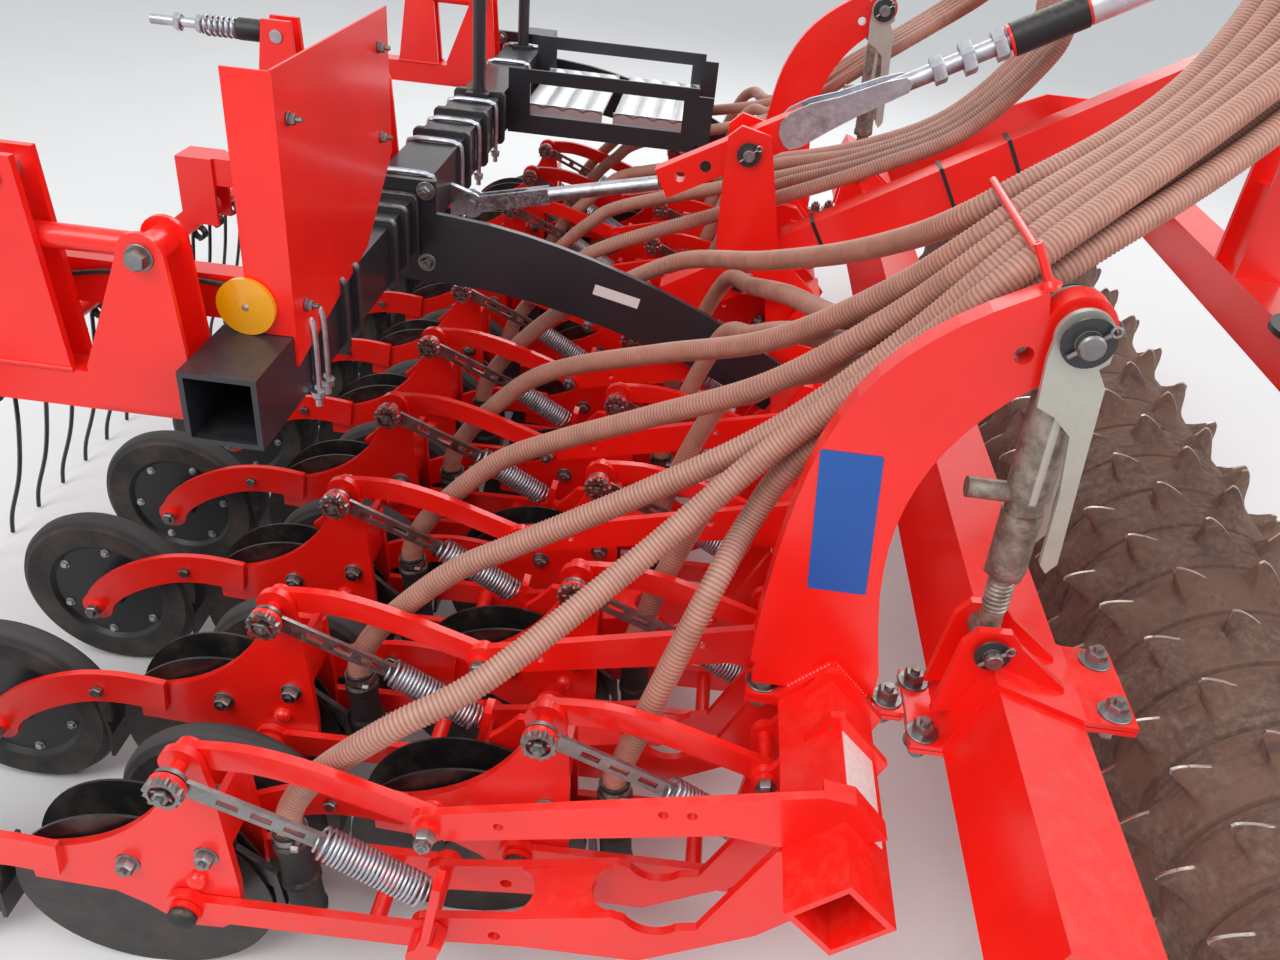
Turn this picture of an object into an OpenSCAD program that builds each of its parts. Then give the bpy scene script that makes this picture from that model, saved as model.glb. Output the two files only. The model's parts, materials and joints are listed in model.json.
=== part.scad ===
// Outer wing of a seed drill in its working position: coulter bar with two ranks of
// disc coulters, packer roller, covering harrow and the linkage that carries them.
// X is the direction of travel, Y runs along the working width towards the middle
// of the machine, Z is up and the ground is at zero.

/* [Rows] */
// Spacing of neighbouring seed rows
row_pitch = 150; // [146:1:160]
// Distance of the first row from the outer end
first_row_y = 225; // [220:1:235]
// Distance by which the front rank of coulters stands ahead of the rear rank
stagger = 420; // [414:1:426]

/* [Coulter unit] */
// Diameter of a press wheel
wheel_d = 330; // [300:1:350]
// Width of a press wheel's tyre
wheel_w = 50; // [40:1:56]
// Diameter of an opener disc
disc_d = 350; // [330:1:360]
// Thickness of an opener disc
disc_t = 4; // [3:0.5:5]
// Angle between one opener disc and the direction of travel
disc_toe = 5; // [4:0.5:6]
// Height of a unit's upper pivots above the ground
pivot_z = 485; // [480:1:490]
// Distance between a unit's rear and front upper pivots
arm_l = 302; // [296:1:306]
// Distance from the upper rear pivot back to the press wheel's axle
axle_back = 478; // [470:1:490]
// Thickness of a unit's flat plates and bars
plate_t = 12; // [8:0.5:12]
// Diameter of the pivot pins
pin_d = 20; // [16:1:24]
// Diameter of the axle of a press wheel
axle_d = 16; // [12:1:20]
// Outer diameter of an extension spring
spring_d = 45; // [36:1:50]
// Outer diameter of a seed hose
hose_d = 36; // [32:1:40]

/* [Beams] */
// Side of the coulter bar's square tube
coulter_beam_s = 90; // [84:1:94]
// Side of the roller bar's square tube
roller_beam_s = 130; // [120:1:136]
// Side of the rear square tube
rear_tube_s = 110; // [100:1:120]
// Side of the front beam's square tube
front_beam_s = 100; // [90:1:120]
// Wall of the square tubes
tube_wall = 8; // [5:0.5:10]

/* [Packer roller] */
// Diameter over the tips of the teeth
roller_tip_d = 535; // [520:1:550]
// Diameter of the roller's drum
roller_drum_d = 420; // [400:1:430]
// Number of toothed rings
ring_count = 24; // [20:1:24]
// Number of teeth on a ring
tooth_count = 12; // [10:1:14]
// Thickness of a toothed ring
ring_t = 14; // [10:1:18]
// Diameter of the roller's stub shafts
roller_shaft_d = 60; // [50:1:70]

/* [Covering harrow] */
// Diameter of the harrow bar
harrow_bar_d = 48; // [40:1:56]
// Diameter of a harrow tine
tine_d = 10; // [8:1:12]
// Number of tines
tine_count = 30; // [20:1:36]

/* [Hidden] */

// Steps of a full circle
$fn = 48;
// Gap between pieces that lie on each other, and radial play of a pin in its bore
seat_gap = 0.3;
run_gap = 0.05;

// Beams: [X, Z] of their middle lines, and how far the roller bar's top face leans forward
coulter_beam_at = [175, 482];
roller_beam_at = [417, 515];
rear_tube_at = [-700, 752];
front_beam_at = [1120, 710];
roller_beam_lean = 19;
coulter_half = coulter_beam_s / sqrt(2);
roller_half = roller_beam_s / sqrt(2);

// Rows: row 0 is the outermost, even rows are the rear rank and odd rows the front rank
row_count = 20;
front_pin_gap = 73;
rear_pivot_x = coulter_beam_at[0] - front_pin_gap - arm_l - stagger;
function row_y(i) = first_row_y + i * row_pitch;
function lane_y(i) = row_y(i) + row_pitch / 2;
function unit_x(i) = rear_pivot_x + (i % 2) * stagger;
inner_y = row_y(row_count - 1) + 72;
bar_start_y = 90;

// A unit's points seen from its upper rear pivot: [forward, up]
lower_rear = [-26, -272];
upper_front = [arm_l, -58];
lower_front = [arm_l - 2, -262];
axle_at = [-axle_back, wheel_d / 2 - pivot_z];
// Angle below level at which the two discs of a pair come together
disc_dive = 40;
disc_nz = sin(disc_toe) * sin(disc_dive);
disc_z = disc_d / 2 * sqrt(1 - disc_nz * disc_nz) + disc_t / 2 * disc_nz;
disc_gap = 30;
disc_at = [axle_at[0] + wheel_d / 2 + disc_gap + disc_d / 2, disc_z - pivot_z];
spring_from = [180, -74];
spring_to = [arm_l + 8, -150];
boot_d = 52;
boot_foot = disc_at + [disc_d / 2 + boot_d / 2 + 22, -18];
boot_top = boot_foot + [-15, 172];

// A unit's layers across the row, from its middle line
near_plate_y = -47;
arm_inner_y = -34;
lower_bar_y = 48;
neck_y = -58;
hanger_y = 34.5;
strap_y = -74;
strap_lean = 1.4;
boot_y = 5;
head_web_z = disc_at[1] + disc_d / 2 - 30;

// Packer roller
roller_at = [930, roller_tip_d / 2];
roller_arm_y = [8, inner_y - 90];
drum_y0 = roller_arm_y[0] + plate_t + 20;
drum_y1 = roller_arm_y[1] - 20;
ring_pitch = (drum_y1 - drum_y0 - 120) / (ring_count - 1);

// Stations along the working width
swan_y = [lane_y(1), lane_y(15)];
link_y = lane_y(9);
curved_arm_y = [lane_y(7), lane_y(17)];
tube_start_y = 560;
support_y = [640, 1600, 2700];
step_y = [2300, 2760];

// Links: the front pins, 0 for the lower link and 1 for the upper one, and the rear pins
function link_front(k) = front_beam_at + [-70, k == 0 ? 525 : 763];
lower_link_rear = coulter_beam_at + [-151, 139];
upper_link_rear = coulter_beam_at + [-171, 418];
link_w = 56;
link_pin_d = 26;

// Swan necks and depth spindles
neck_t = 30;
neck_tip = coulter_beam_at + [170, 591];
neck_pin_d = 30;
clevis_at = roller_beam_at + [-52, 113];
clevis_pin_d = 24;
hook_plate_y = 27;
saddle_w = 50;
strap_t = 8;

// Covering harrow: its pivots, bar and the coils of its tines
harrow_pivot = rear_tube_at + [-rear_tube_s / 2 - 440, -112];
harrow_pin_d = 30;
harrow_bar_at = rear_tube_at + [-700, -282];
tine_coil_d = 40;

// Hoses: [forward of the sleeve, height] as a hose rises from its sleeve in each rank
rear_rise = [[0, 329], [14, 384], [58, 452], [150, 550], [250, 618]];
front_rise = [[0, 329], [12, 384], [36, 480], [92, 645], [138, 715]];
// Then the way to each guide: [X, height], and the place in the guide
outer_way_rear = [[-110, 722], [50, 838], [190, 985]];
outer_way_front = [[85, 806], [200, 938]];
outer_guide = [305, 1128];
middle_way = [[93, 772], [290, 862], [467, 962], [601, 1131]];
inner_way = [[117, 734], [351, 917], [560, 1075]];
tier_drop = 42;
hose_pitch = 42;
guide_y = [512, 1736, 2605];
hook_d = 10;

// Distribution head: [X, Y] of its middle line and the heights of its two rows of outlets
head_at = [1120, 1300];
outlet_z = [1690, 1630];
head_d = 280;
outlet_l = 25;
outlet_step = 20;

// Extent of the whole part, for the origin in the middle of its footprint
tine_tip_x = -1520;
back_x = tine_tip_x - tine_d / 2;
front_x = front_beam_at[0] + front_beam_s / 2 + 130;
mid_x = (front_x + back_x) / 2;
mid_y = inner_y / 2;

paint = "red";
charcoal = [0.15, 0.16, 0.18];
rubber = [0.12, 0.12, 0.13];
zinc = [0.72, 0.73, 0.75];
worn = [0.45, 0.38, 0.34];

// Moves the children so that the origin is under the middle of the part
module placed() {
    translate([-mid_x, -mid_y, 0]) children();
}

// A flat profile drawn in X and Z, thick from y0 to y1
module across(y0, y1) {
    translate([0, y1, 0]) rotate([90, 0, 0]) linear_extrude(y1 - y0) children();
}

// A round bar along Y
module bar_y(at, d, y0, y1) {
    translate([at[0], y0, at[1]]) rotate([-90, 0, 0]) cylinder(d = d, h = y1 - y0);
}

// A round bar from a to b
module rod(a, b, d) {
    v = b - a;
    l = norm(v);
    translate(a) rotate([0, acos(v[2] / l), atan2(v[1], v[0])]) cylinder(d = d, h = l);
}

// A point [X, Z] of a side view as a point in space
function xz(p) = [p[0], 0, p[1]];

// Outline of a flat bar w deep from a to b
module flat_bar(a, b, w) {
    v = b - a;
    translate(a) rotate(atan2(v[1], v[0])) translate([0, -w / 2]) square([norm(v), w]);
}

// Points of a smooth curve through p, n steps to each stretch
function blend4(a, b, c, d, t) =
    0.5 * (2 * b + (c - a) * t + (2 * a - 5 * b + 4 * c - d) * t * t
        + (3 * b - a - 3 * c + d) * t * t * t);
function smooth(p, n) = concat([for (i = [0:len(p) - 2]) for (s = [0:n - 1])
    blend4(p[max(i - 1, 0)], p[i], p[i + 1], p[min(i + 2, len(p) - 1)], s / n)],
    [p[len(p) - 1]]);
// Direction of a curve at its point i, and the outline of a ribbon along it
function along(c, i) = let (v = c[min(i + 1, len(c) - 1)] - c[max(i - 1, 0)]) v / norm(v);
function beside(c, i, w) = c[i] + w * [-along(c, i)[1], along(c, i)[0]];
function ribbon(c, w0, w1) = let (n = len(c) - 1) concat(
    [for (i = [0:n]) beside(c, i, (w0 + (w1 - w0) * i / n) / 2)],
    [for (i = [n:-1:0]) beside(c, i, -(w0 + (w1 - w0) * i / n) / 2)]);

// Diamond outline of a square tube that stands on its edge
module diamond(at, s) {
    translate(at) rotate(45) square(s, center = true);
}

// Square tube on its edge, open at both ends
module diamond_tube(at, s, y0, y1) {
    across(y0, y1) difference() {
        diamond(at, s);
        diamond(at, s - 2 * tube_wall);
    }
}

// Places the children at the upper rear pivot of row i
module at_unit(i) {
    translate([unit_x(i), row_y(i), pivot_z]) children();
}

module coulter_beam() {
    color(paint) diamond_tube(coulter_beam_at, coulter_beam_s, bar_start_y, inner_y);
}

// Pins of a hanger through the upper and the lower arms of unit i
module hanger_pins(i) {
    near = -hanger_y - plate_t;
    far = (i % 2 == 0) ? arm_inner_y + plate_t + 4 : hanger_y + plate_t;
    at_unit(i) {
        bar_y(upper_front, pin_d, near, far);
        bar_y(upper_front, pin_d + 12, near - 8, near);
        bar_y(upper_front, pin_d + 12, far, far + 5);
        bar_y(lower_front, pin_d, -lower_bar_y - plate_t, lower_bar_y + plate_t);
        bar_y(lower_front, pin_d + 12, lower_bar_y + plate_t, lower_bar_y + plate_t + 10);
    }
}

// Both side plates of a hanger, drawn in the machine's X and Z
module hanger_sides(i) {
    for (y0 = [-hanger_y - plate_t, hanger_y])
        translate([0, row_y(i), 0]) across(y0, y0 + plate_t) children();
}

// Hanger of the rear rank: a channel with a waisted web below and one flat bar above
module rear_hanger(i) {
    up = [rear_pivot_x, pivot_z] + upper_front;
    low = [rear_pivot_x, pivot_z] + lower_front;
    web_from = low + [114, 34];
    web_l = 124;
    rise = 15.6;
    hanger_sides(i) difference() {
        union() {
            polygon([low + [0, 26], web_from + [-6, 13],
                web_from + [web_l * cos(rise) + 6, web_l * sin(rise) + 13], low + [300, 64],
                low + [350, 78], coulter_beam_at + [-coulter_half - 4, -6],
                coulter_beam_at + [coulter_half - 18, -18],
                coulter_beam_at + [16, -coulter_half - 22],
                coulter_beam_at + [-70, -coulter_half - 112], low + [280, -6],
                low + [120, -10], low + [0, -25]]);
            translate(low) circle(d = 52);
        }
        diamond(coulter_beam_at, coulter_beam_s + 2 * seat_gap);
        translate(low + [88, 6]) circle(d = 17);
        translate(low + [292, 98]) circle(d = 84);
    }
    translate([0, row_y(i), 0]) across(-hanger_y - plate_t, -hanger_y) difference() {
        union() {
            polygon([up + [6, 30], coulter_beam_at + [-30, 97], coulter_beam_at + [8, 92],
                coulter_beam_at + [54, 40], coulter_beam_at + [10, 20],
                coulter_beam_at + [-coulter_half - 6, 2], up + [360, 64], up + [20, -16]]);
            translate(up + [4, 6]) circle(d = 50);
        }
        diamond(coulter_beam_at, coulter_beam_s + 2 * seat_gap);
        for (p = [[88, 24], [284, 86], [318, 91]]) translate(up + p) circle(d = 13);
    }
    translate([0, row_y(i), 0]) across(-hanger_y, -hanger_y + 16) difference() {
        polygon([coulter_beam_at + [-30, 97], coulter_beam_at + [8, 92],
            coulter_beam_at + [54, 40], coulter_beam_at + [46, 34],
            coulter_beam_at + [4, 84], coulter_beam_at + [-30, 89]]);
        diamond(coulter_beam_at, coulter_beam_s + 2 * seat_gap);
    }
    translate([web_from[0], row_y(i), web_from[1]]) rotate([0, -rise, 0])
        linear_extrude(10) difference() {
            translate([0, -hanger_y]) square([web_l, 2 * hanger_y]);
            for (x = [-12, web_l + 12]) translate([x, 0]) circle(r = hanger_y);
        }
    hanger_pins(i);
    spring_block(i);
}

// Hanger of the front rank: two plates that grip the bar from behind
module front_hanger(i) {
    up = [rear_pivot_x + stagger, pivot_z] + upper_front;
    low = [rear_pivot_x + stagger, pivot_z] + lower_front;
    hanger_sides(i) difference() {
        union() {
            translate(up) circle(d = 40);
            translate(low) circle(d = 50);
            polygon([up + [-20, 4], up + [-12, -60], low + [-24, 6], low + [20, -14],
                low + [44, 60], coulter_beam_at + [14, -coulter_half - 12],
                coulter_beam_at + [coulter_half + 4, -22],
                coulter_beam_at + [coulter_half + 14, 4], coulter_beam_at + [8, coulter_half + 14],
                coulter_beam_at + [-10, coulter_half + 14], up + [4, 20]]);
        }
        diamond(coulter_beam_at, coulter_beam_s + 2 * seat_gap);
    }
    translate([low[0] + 4, row_y(i) - hanger_y, low[1] + 50])
        cube([12, 2 * hanger_y, 84]);
    hanger_pins(i);
    spring_block(i);
}

// Angle on the lower pin of a hanger that holds the end of the spring
module spring_block(i) {
    outer = -lower_bar_y - plate_t - seat_gap;
    at_unit(i) {
        bar_y(lower_front, 40, outer - 30, outer);
        across(outer - 31, outer) difference() {
            union() {
                flat_bar(lower_front + [2, 6], spring_to + [13, 38], 11);
                flat_bar(lower_front + [2, 0], lower_front + [14, 34], 30);
            }
            translate(lower_front + [14, 36]) circle(d = 8);
        }
    }
}

module rear_row_brackets() {
    color(paint) for (i = [0:2:row_count - 1]) rear_hanger(i);
}

module front_row_brackets() {
    color(paint) for (i = [1:2:row_count - 1]) front_hanger(i);
}

module upper_arms() {
    curve = smooth([[0, 0], [arm_l * 0.25, 5], [arm_l * 0.5, -8], [arm_l * 0.75, -32],
        upper_front], 4);
    color(paint) for (i = [0:row_count - 1]) at_unit(i)
        across(arm_inner_y, arm_inner_y + plate_t + 1) difference() {
            union() {
                polygon(ribbon(curve, 37, 35));
                circle(d = 37);
                translate(upper_front) circle(d = 35);
            }
            circle(d = pin_d + 2 * run_gap);
            translate(upper_front) circle(d = pin_d + 2 * run_gap);
        }
}

module lower_arms() {
    v = lower_front - lower_rear;
    color(paint) for (i = [0:row_count - 1]) at_unit(i) {
        for (y0 = [-lower_bar_y - plate_t, lower_bar_y])
            across(y0, y0 + plate_t) difference() {
                union() {
                    flat_bar(lower_rear, lower_front, 42);
                    translate(lower_rear) circle(d = 60);
                    translate(lower_front) circle(d = 50);
                }
                translate(lower_rear) circle(d = pin_d + 2 * run_gap);
                translate(lower_front) circle(d = pin_d + 2 * run_gap);
            }
        bar_y(lower_rear + v * 0.78, 24, -lower_bar_y, lower_bar_y);
    }
}

// Outline of the plate that joins a unit's arms, opener and wheel arm
module head_outline() {
    circle(d = 54);
    difference() {
        polygon([[-26, 4], [26, 4], [36, -60], [46, -225], [44, -296], [12, -322],
            [-44, -326], [-86, -292], [-128, -270], [-238, -264], [-238, -208],
            [-160, -176], [-60, -60]]);
        translate([-255, 52]) circle(d = 502, $fn = 96);
    }
}

module wheel_arm_outline() {
    curve = smooth([[-190, -208], [-262, -202], [-330, -212], [-402, -244], [-455, -284],
        axle_at], 5);
    polygon(ribbon(curve, 60, 50));
    translate(axle_at) circle(d = 56);
}

module unit_heads() {
    color(paint) for (i = [0:row_count - 1]) at_unit(i) {
        across(near_plate_y, near_plate_y + plate_t) {
            head_outline();
            translate(lower_rear) circle(d = 56);
        }
        across(-near_plate_y - plate_t, -near_plate_y) intersection() {
            head_outline();
            translate([-90, -340]) square([200, 250]);
        }
        across(neck_y, near_plate_y) wheel_arm_outline();
        translate([26, near_plate_y, head_web_z]) cube([10, -2 * near_plate_y, -70 - head_web_z]);
        head_pins();
    }
}

// Pins of a head: through the upper arm, through the lower arms and the wheel's axle
module head_pins() {
    hub = wheel_w / 2;
    bar_y([0, 0], pin_d, strap_y - 6, arm_inner_y + plate_t + 6);
    bar_y([0, 0], pin_d + 14, arm_inner_y + plate_t + 2, arm_inner_y + plate_t + 8);
    bar_y([0, 0], pin_d + 14, strap_y - 10, strap_y - 3);
    for (s = [-1, 1]) {
        bar_y(lower_rear, pin_d, s * (lower_bar_y + plate_t / 2) - plate_t / 2 - 2,
            s * (lower_bar_y + plate_t / 2) + plate_t / 2 + 2);
        bar_y(lower_rear, pin_d + 24, s * (lower_bar_y + plate_t + 5) - 4,
            s * (lower_bar_y + plate_t + 5) + 4);
    }
    bar_y(axle_at, axle_d, neck_y - 8, hub + 4);
    bar_y(axle_at, 30, near_plate_y - 1, -hub - 1);
    bar_y(axle_at, 30, hub + 1, hub + 7);
    bar_y(axle_at, 26, neck_y - 10, neck_y + 1);
}

// Casting between the two discs, fixed inside the head, with a nose for the boot
module opener_outline() {
    nose = boot_foot + [-boot_d / 2, 0];
    polygon([[25.7, -90], [25.7, -206], nose + [-11, 78], nose + [-3, 10], nose + [-5, -4], boot_foot + [-19, -14],
        boot_foot + [19, -14], boot_foot + [16, -26], boot_foot + [-38, -26],
        nose + [-16, 20], nose + [-18, 50], [30, -244], [-6, -300], [-98, -398],
        [-158, -418], [-176, -390], [-148, -290], [-78, -180], [2, -90]]);
}

module opener_bodies() {
    v = boot_top - boot_foot;
    color(charcoal) for (i = [0:row_count - 1]) at_unit(i) {
        across(-5, 5) opener_outline();
        translate([boot_foot[0], boot_y, boot_foot[1]]) rotate([0, atan2(v[0], v[1]), 0])
            translate([0, 0, -seat_gap - 14]) cylinder(d = 38, h = 14);
    }
}

// One disc of a pair: side is -1 for the outer one and 1 for the inner one
module opener_disc(side) {
    out = disc_d / 2 * sin(disc_toe) + disc_t / 2 + 0.5;
    hub = out - disc_t / 2 - 5 - 28 * sin(disc_toe) - seat_gap;
    rotate([0, disc_dive, 0]) rotate([0, 0, -side * disc_toe]) {
        bar_y([0, 0], disc_d, side * out - disc_t / 2, side * out + disc_t / 2);
        bar_y([0, 0], 56, side * (out - hub / 2) - hub / 2, side * (out - hub / 2) + hub / 2);
        bar_y([0, 0], 70, side * (out + 8) - 7, side * (out + 8) + 7);
    }
}

module opener_discs() {
    color(worn) for (i = [0:row_count - 1]) at_unit(i)
        for (side = [-1, 1]) translate([disc_at[0], 0, disc_at[1]]) opener_disc(side);
}

// Rubber sleeve that joins a hose to the opener
module boot_sleeves() {
    v = boot_top - boot_foot;
    r = boot_d / 2;
    l = norm(v);
    color(rubber) for (i = [0:row_count - 1]) at_unit(i)
        translate([boot_foot[0], boot_y, boot_foot[1]]) rotate([0, atan2(v[0], v[1]), 0])
            rotate_extrude() polygon([[0, 0], [r - 1, 0], [r, 8], [r - 2, 14], [r - 2, 62],
                [r + 1, 68], [r + 1, 76], [r - 2, 82], [r - 3, l - 40], [r, l - 34],
                [r, l - 24], [r - 4, l - 20], [r - 4, l], [0, l]]);
}

// Blade that follows the front of a press wheel's tyre, with its bracket
module wheel_scrapers() {
    y0 = near_plate_y + seat_gap;
    rim = axle_at + [wheel_d / 2, 0];
    color(worn) for (i = [0:row_count - 1]) at_unit(i) {
        across(y0, y0 + 6) polygon([rim + [-5, 124], rim + [29, 124], rim + [22, 62],
            rim + [18, 28], rim + [4, 30], rim + [3, 60]]);
        across(y0, wheel_w / 2 - 2) polygon([rim + [4, 52], rim + [10, 52], rim + [13, 0],
            rim + [9, -52], rim + [3, -52], rim + [7, 0]]);
    }
}

module spring_straps() {
    v = spring_from;
    color(zinc) for (i = [0:row_count - 1]) at_unit(i)
        across(strap_y, strap_y + 6) difference() {
            union() {
                flat_bar([0, 0], v, 26);
                circle(d = 44);
            }
            circle(d = pin_d + 2 * run_gap);
            for (t = [0.3, 0.52, 0.74]) flat_bar(v * t, v * (t + 0.14), 10);
        }
}

module springs() {
    v = spring_to - spring_from;
    l = norm(v);
    color(zinc) for (i = [0:row_count - 1]) at_unit(i)
        translate([spring_from[0], strap_y + 3, spring_from[1]])
            rotate([0, 90 - atan2(v[1], v[0]), 0]) translate([0, 0, strap_lean])
                rotate_extrude() polygon([[0, 0], [6, 0], [spring_d / 2 - 4, 12],
                    [spring_d / 2, 16], [spring_d / 2, l - 26], [spring_d / 2 - 6, l - 18],
                    [3, l - 14], [3, l - 1.2], [0, l - 1.2]]);
}

// Press wheel: tyre, rim and hub turned in one piece, with its bore for the axle
module press_wheel(i) {
    r = wheel_d / 2;
    h = wheel_w / 2;
    bore = axle_d / 2 + run_gap;
    color(rubber) at_unit(i) translate([axle_at[0], 0, axle_at[1]]) rotate([-90, 0, 0])
        rotate_extrude($fn = 64) polygon([[bore, -h], [28, -h], [32, -h + 12],
            [r - 64, -h + 11], [r - 56, -h + 3], [r - 16, -h], [r - 5, -h + 8],
            [r, -h + 18], [r, h - 18], [r - 5, h - 8], [r - 16, h], [r - 56, h - 3],
            [r - 64, h - 11], [32, h - 12], [28, h], [bore, h]]);
}

function wheel_name(i) = str("press_wheel_", i < 9 ? "0" : "", i + 1);

// The children turned as the roller bar is, drawn about its middle line
module leaning() {
    translate(roller_beam_at) rotate(-roller_beam_lean) children();
}

module roller_beam() {
    color(paint) across(roller_arm_y[0] + plate_t, roller_arm_y[1]) leaning() difference() {
        square(roller_beam_s, center = true);
        square(roller_beam_s - 2 * tube_wall, center = true);
    }
}

// Side plates that close the roller bar and carry the roller's bearings and the front beam
module roller_arms() {
    color(paint) for (y0 = roller_arm_y)
        across(y0, y0 + plate_t) difference() {
            union() {
                leaning() square(roller_beam_s, center = true);
                polygon([roller_beam_at + [70, 52], [1000, 800], [1200, 800], [1200, 620],
                    [1060, 560], [990, 230], [870, 230], [830, 420],
                    roller_beam_at + [20, -80]]);
                translate(roller_at) circle(d = 150);
            }
            translate(front_beam_at) square(front_beam_s + 2 * seat_gap, center = true);
            translate(roller_at) circle(d = roller_shaft_d + 2 * run_gap);
        }
}

// Outline of a toothed ring: each tooth rises on a hollow slope and drops steeply
function tooth_point(k, r, a) = let (t = (k + a) * 360 / tooth_count) r * [cos(t), sin(t)];
module ring_outline() {
    root = roller_drum_d / 2 - 6;
    tip = roller_tip_d / 2;
    high = tip - root;
    shape = [[0, 0], [0.26, 0.13], [0.5, 0.4], [0.73, 1], [0.8, 1], [0.88, 0.3], [0.94, 0]];
    polygon([for (k = [0:tooth_count - 1]) for (p = shape)
        tooth_point(k, root + high * p[1], p[0])]);
}

module packer_roller() {
    step = 360 / tooth_count;
    color(worn) {
        difference() {
            union() {
                bar_y(roller_at, roller_drum_d, drum_y0, drum_y1);
                for (j = [0:ring_count - 1]) translate([roller_at[0], 0, roller_at[1]])
                    rotate([0, 90 + step * (0.765 + (j % 3) / 3), 0])
                        across(drum_y0 + 60 + j * ring_pitch - ring_t / 2,
                            drum_y0 + 60 + j * ring_pitch + ring_t / 2) ring_outline();
                bar_y(roller_at, roller_shaft_d, roller_arm_y[0] - 6, drum_y0 + 1);
                bar_y(roller_at, roller_shaft_d, drum_y1 - 1, roller_arm_y[1] + plate_t + 6);
            }
            bar_y(roller_at, roller_drum_d - 24, drum_y0 + 12, drum_y1 - 12);
            for (y0 = [drum_y0 - 1, drum_y1 - 13]) bar_y(roller_at + [120, 0], 24, y0, y0 + 14);
        }
    }
}

// Front beam with the carrier for the links, the mast and the lugs of the fold
module wing_frame() {
    bx = front_beam_at[0];
    bz = front_beam_at[1];
    h = front_beam_s / 2;
    color(paint) {
        across(0, inner_y) difference() {
            translate(front_beam_at) square(front_beam_s, center = true);
            translate(front_beam_at) square(front_beam_s - 2 * tube_wall, center = true);
        }
        for (s = [-1, 1]) translate([0, link_y + s * 54 - 6, 0])
            across(0, 12) difference() {
                polygon([[bx - h, bz + h], [bx + h, bz + h], [bx + h, bz + 530],
                    [bx - 10, bz + 830], [bx - 110, bz + 830], [bx - 110, bz + 470],
                    [bx - h, bz + 290]]);
                translate(link_front(0)) circle(d = link_pin_d + 2 * run_gap);
                translate(link_front(1)) circle(d = link_pin_d + 2 * run_gap);
            }
        translate([bx - h + 20, link_y - 48, bz + h]) cube([60, 96, 180]);
        for (y0 = [inner_y - 60, inner_y - 25]) across(y0, y0 + 25) difference() {
            union() {
                translate([bx + h, bz - 50]) square([80, 100]);
                translate([bx + h + 80, bz]) circle(d = 100);
            }
            translate([bx + h + 80, bz]) circle(d = 40);
        }
    }
}

// Curved arm with its saddle on the coulter bar and its tip pin
function neck_outer() = smooth([for (p = [[-111, 58], [-109, 158], [-99, 286], [-77, 407],
    [-29, 508], [44, 580], [125, 630]]) coulter_beam_at + p], 3);
function neck_inner() = smooth([for (p = [[155, 528], [100, 474], [55, 398], [33, 307],
    [37, 195], [65, 58]]) coulter_beam_at + p], 3);

module swan_necks() {
    color(paint) for (y = swan_y) translate([0, y, 0]) {
        across(-neck_t / 2, neck_t / 2) difference() {
            union() {
                polygon(concat(neck_outer(), neck_inner()));
                translate(neck_tip) circle(d = 78);
                translate(coulter_beam_at + [-104, 20]) square([168, 44]);
            }
            translate(neck_tip) circle(d = neck_pin_d + 2 * run_gap);
            translate(neck_tip + [-51, -37]) circle(d = 22);
            diamond(coulter_beam_at, coulter_beam_s + 2 * seat_gap);
        }
        bar_saddle(-saddle_w / 2, saddle_w / 2);
    }
}

// Two straps bent over the coulter bar, with ears that are bolted together
module bar_saddle(y0, y1) {
    across(y0, y1) difference() {
        union() {
            diamond(coulter_beam_at, coulter_beam_s + 2 * strap_t);
            for (s = [-1, 1]) translate(coulter_beam_at + [s * (coulter_half + 19), 0])
                square([54, 2 * strap_t], center = true);
        }
        diamond(coulter_beam_at, coulter_beam_s + 2 * seat_gap);
        translate(coulter_beam_at - [200, 1]) square([400, 2]);
    }
}

// A corner of the roller bar: i is -1 at the rear and 1 in front, j is -1 below and 1 above
function roller_corner(i, j) = let (h = roller_beam_s / 2, a = roller_beam_lean)
    roller_beam_at + h * [i * cos(a) + j * sin(a), j * cos(a) - i * sin(a)];

// Saddles on the roller bar that hold the lower ends of the spindles
module roller_clamps() {
    rear = roller_corner(-1, -1);
    front = roller_corner(1, 1);
    color(paint) for (y = swan_y) translate([0, y, 0]) {
        across(-74, 74) difference() {
            union() {
                leaning() square(roller_beam_s + 2 * strap_t, center = true);
                translate(rear + [-44, -strap_t]) square([50, 2 * strap_t]);
                translate(front + [-6, -strap_t]) square([74, 2 * strap_t]);
            }
            leaning() square(roller_beam_s + 2 * seat_gap, center = true);
            translate(rear - [100, 1]) square([108, 2]);
            translate(front - [8, 1]) square([108, 2]);
        }
        for (s = [-1, 1]) across(s * 30 - 6, s * 30 + 6) difference() {
            polygon([rear + [-20, 34], clevis_at + [-38, 6], clevis_at + [-22, 30],
                clevis_at + [20, 32], clevis_at + [38, 10], front + [-26, 26],
                front + [-20, 4]]);
            leaning() square(roller_beam_s + strap_t, center = true);
            translate(clevis_at) circle(d = clevis_pin_d + 2 * run_gap);
        }
    }
}

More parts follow.
